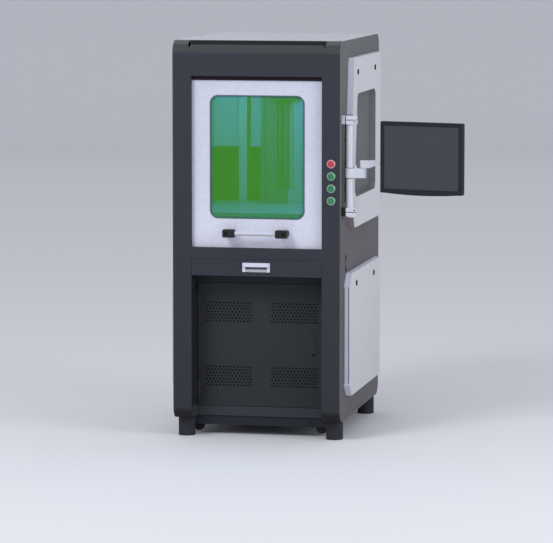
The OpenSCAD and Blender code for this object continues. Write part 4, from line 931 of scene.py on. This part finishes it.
def makeSideCable(spec):
    # route: out of the lower grommet, a quarter circle, straight up and a quarter circle back in
    x, y, bend, (low, high) = spec["x"] + 0.4, spec["y"], spec["bendR"], spec["z"]
    lie = spec["r"] + spec["lift"]
    angle = np.linspace(0, math.pi / 2, 7)
    out = np.column_stack([x + lie * np.sin(angle), low + bend * (1 - np.cos(angle))])
    up = np.linspace(low + bend + spec["lead"], high - bend - spec["lead"], 14)
    straight = np.column_stack([np.full(len(up), x + lie), up])
    back = np.column_stack([out[::-1, 0], low + high - out[::-1, 1]])
    route = np.concatenate([out, straight, back])
    path = np.column_stack([route[:, 0], np.full(len(route), y), route[:, 1]])
    gridMesh("sideCable", tube(path, spec["r"]), plastic["cableJacket"])
    plate = spec["x"] + 0.02
    grommet = turned([(2.4, 0), (7.4, 0), (7.4, 1.0), (6.6, 1.9), (5.0, 2.4), (3.4, 2.2), (2.4, 1.4),
                      (2.4, 0)], 32)
    gridMesh("cableGrommets", facing(grommet, [(plate, y, z) for z in (low, high)], "+x"),
             plastic["wiperRubber"])
    # clip: an arch over the cable, x from the plate as r * sin(angle), on a rounded foot
    angle = np.linspace(0, math.pi, 13)
    arch = np.column_stack([plate + 5.4 * np.sin(angle), y - 4.6 * np.cos(angle)])
    gridMesh("cableClips", facing(extruded(arch, -3.5, 3.5, "z"), [(0, 0, z) for z in spec["clips"]], "+z"),
             plastic["latchAbs"], bevel=0.5)
    foot = slab(11, 21, 2.5, [(0, 0), (0, 1.0), (0.5, 1.5)])
    gridMesh("clipFeet", facing(foot, [(plate, y, z) for z in spec["clips"]], "+x"), plastic["latchAbs"])


makeSideCable(sideCable)


# Finger guards: wire rings about an axis along y, and two crossed bars

def makeGuard(name, spec):
    x, z, wire = spec["x"], spec["z"], spec["wire"]
    turn = np.linspace(0, 2 * math.pi, spec["sides"], endpoint=False)
    along = np.linspace(-spec["reach"], spec["reach"], 8)
    level = np.full(len(turn), spec["ringY"])
    rings = [np.column_stack([x + r * np.cos(turn), level, z + r * np.sin(turn)]) for r in spec["rings"]]
    gridMesh(name + "Rings", np.stack([tube(ring, wire, 8, closed=True) for ring in rings]),
             metal["zincScrew"], closed=True)
    level = np.full(len(along), spec["barY"])
    bars = [np.column_stack([x + along * math.cos(a), level, z + along * math.sin(a)])
            for a in np.radians((45, 135))]
    gridMesh(name + "Bars", np.stack([tube(bar, wire, 8) for bar in bars]), metal["zincScrew"])


# Back of the cabinet: mains inlet, rocker switch, cable glands and a finger guard in the exhaust spigot

rearFittings = {"y": 470.02, "inlet": (262, 742), "pins": ((-9, -3), (0, 3), (9, -3)),
                "switch": (214, 742), "glands": ((-262, 742), (-218, 742))}
exhaustGuard = {"x": -200, "z": 1504, "ringY": 515, "barY": 513, "rings": (8, 16, 24, 32),
                "sides": 48, "wire": 1.1, "reach": 35.4}


def makeRearFittings(spec):
    y = spec["y"]
    flange = slab(52, 32, 4, [(0, 0), (0, 8), (0.8, 9), (8, 9), (8.4, 8.6), (9, 1.2)])
    pins = slab(6, 2.2, 0.4, [(0, 0), (0, 5), (0.5, 5.6)])
    x, z = spec["inlet"]
    gridMesh("mainsInlet", facing(flange, [(x, y, z)], "+y"), plastic["latchAbs"])
    pinPlaces = [(x + dx, y + 1.2, z + dz) for dx, dz in spec["pins"]]
    gridMesh("mainsPins", facing(pins, pinPlaces, "+y"), metal["zincScrew"])
    x, z = spec["switch"]
    bezel = slab(24, 32, 3, [(0, 0), (0, 4), (0.8, 4.8), (2.6, 4.8), (3.0, 3.4)])
    gridMesh("switchBezel", facing(bezel, [(x, y, z)], "+y"), plastic["latchAbs"])
    # rocker: its face slopes along the switch, one end pressed in
    rocker = slab(17.4, 25.4, 1, [(0, 3.0), (0, 5.6), (0.8, 6.2), (4, 6.4), (7, 6.4)])
    rocker[..., 2] += np.where(rocker[..., 2] > 5, 1.6 * rocker[..., 1] / 12.7, 0)
    gridMesh("switchRocker", facing(rocker, [(x, y, z)], "+y"), plastic["capRed"])
    body = turned([(0, 0), (13, 0), (13, 5), (12, 6), (10.4, 6), (10.4, 7), (12, 8), (12.6, 9.4), (12.2, 12),
                   (10.6, 15.4), (7.4, 17), (5.2, 17.2), (4.8, 16.6), (4.6, 13.0), (0, 13.0)],
                  24, hexed=(1, 2, 3, 7, 8, 9))
    gridMesh("cableGlands", facing(body, [(x, y, z) for x, z in spec["glands"]], "+y"),
             plastic["glandPolyamide"])


makeRearFittings(rearFittings)
makeGuard("exhaustGuard", exhaustGuard)
print("side cable and rear fittings made")


# Fan in the control unit: a finger guard, a rotor with swept blades and the unit's keys

unitFan = {"x": -120, "y": -237, "z": 172, "blades": 7, "hub": 17, "tip": 46, "width": 38, "sweep": 34,
           "rise": 2.2, "halfThick": 0.35, "sunk": 4.95, "screwR": 56}
fanGuard = {"x": -120, "z": 172, "ringY": -237.6, "barY": -239, "rings": (16, 26, 36, 46, 51),
            "sides": 56, "wire": 0.9, "reach": 56}


def makeUnitFan(spec):
    x, y, z, rotor = spec["x"], spec["y"], spec["z"], spec["y"] + spec["sunk"]
    # blade: radius one way, the angle across it swept back with radius; closed round its edge
    r = np.linspace(spec["hub"] - 1, spec["tip"], 9)[:, None]
    loop = np.array([0, 0.25, 0.5, 0.75, 1, 0.75, 0.5, 0.25])[None]
    face = np.array([0, 1, 1, 1, 0, -1, -1, -1])[None] * spec["halfThick"]
    along = (r - spec["hub"]) / (spec["tip"] - spec["hub"])
    angle = np.radians(loop * spec["width"] + spec["sweep"] * along)
    level = 1.2 + spec["rise"] * loop + face + 0 * r
    blade = closedEnds(np.stack([r * np.cos(angle), r * np.sin(angle), level], -1))
    step = 2 * math.pi / spec["blades"]
    blades = []
    for k in range(spec["blades"]):
        c, s = math.cos(k * step), math.sin(k * step)
        turn = np.array([[c, -s, 0], [s, c, 0], [0, 0, 1]])
        blades.append(facing(blade @ turn.T, [(x, rotor, z)], "-y"))
    gridMesh("fanBlades", np.concatenate(blades), plastic["lensBarrel"])
    hub = turned([(0, 0.2), (spec["hub"], 0.2), (spec["hub"], 3.6), (spec["hub"] - 1.2, 4.6), (6, 4.8),
                  (0, 4.4)], 40)
    gridMesh("fanHub", facing(hub, [(x, rotor, z)], "-y"), plastic["lensBarrel"])
    fasten("fanScrews", "m4Button", "blackScrew", "cabinet", "-y", fourRound(x, y, z, spec["screwR"]))


unitFront = {"y": -237, "rowZ": 150, "keyX": 64, "lampXs": (90, 106), "slotX": 113, "slotZs": (204, 222),
             "bay": 3}


def makeUnitFront(spec):
    y, row = spec["y"], spec["rowZ"]
    key = turned([(0, 0), (8, 0), (8, 1.6), (7.2, 2.2), (5.4, 1.7), (0, 1.4)], 32)
    gridMesh("unitKey", facing(key, [(spec["keyX"], y, row)], "-y"), plastic["latchAbs"])
    slot = slab(128, 3.0, 1.2, [(0, 0), (0, 0.6), (0.5, 0.9)])
    slotPlaces = [(spec["slotX"], y - spec["bay"], z) for z in spec["slotZs"]]
    gridMesh("driveSlots", facing(slot, slotPlaces, "-y"), plastic["latchAbs"])
    lamp = slab(10, 5, 1.2, [(0, 0), (0, 1.2), (0.6, 1.7)])
    gridMesh("unitLamps", facing(lamp, [(x, y, row) for x in spec["lampXs"]], "-y"), plastic["clearLamp"])


makeGuard("fanGuard", fanGuard)
makeUnitFan(unitFan)
makeUnitFront(unitFront)


# Caster nuts on both ends of each axle, and the lock cylinder in the latch lever

casterAxles = {"x": 268, "y": 302, "z": 33.7, "trail": 17, "cheek": 12.5, "nutR": 4.6, "nutH": 3,
               "boltR": 2.6}
latchLock = {"x": 225, "y": -353.6, "z": 415.5, "r": 2.4}


def makeCasterNuts(spec):
    nut = hexNut(spec["nutR"], spec["nutH"], spec["boltR"])
    y, z, trail, out = spec["y"], spec["z"], spec["trail"], spec["cheek"]
    for side, x in (("left", -spec["x"]), ("right", spec["x"])):
        # the front wheels trail sideways, so their axles run front to back; the rear ones run across
        ends = {"front": [((x - trail, way * out - y, z), axis) for way, axis in ((1, "+y"), (-1, "-y"))],
                "rear": [((x + way * out, y + trail, z), axis) for way, axis in ((1, "+x"), (-1, "-x"))]}
        for row, pair in ends.items():
            nuts = np.stack([facing(nut, [place], axis)[0] for place, axis in pair])
            gridMesh("casterNuts" + row.capitalize() + side.capitalize(), nuts, metal["blackScrew"],
                     row + "_" + side + "_fork")


def makeLatchLock(spec):
    # lock cylinder: a low disc with a chamfered edge
    r = spec["r"]
    disc = turned([(0, 0), (r, 0), (r, 0.5), (r - 0.3, 0.8), (0, 0.8)], 24)
    place = (spec["x"], spec["y"], spec["z"])
    gridMesh("latchLock", facing(disc, [place], "-y"), metal["zincScrew"], "bay_latch")


makeCasterNuts(casterAxles)
makeLatchLock(latchLock)
print("fan, caster nuts and latch lock made")
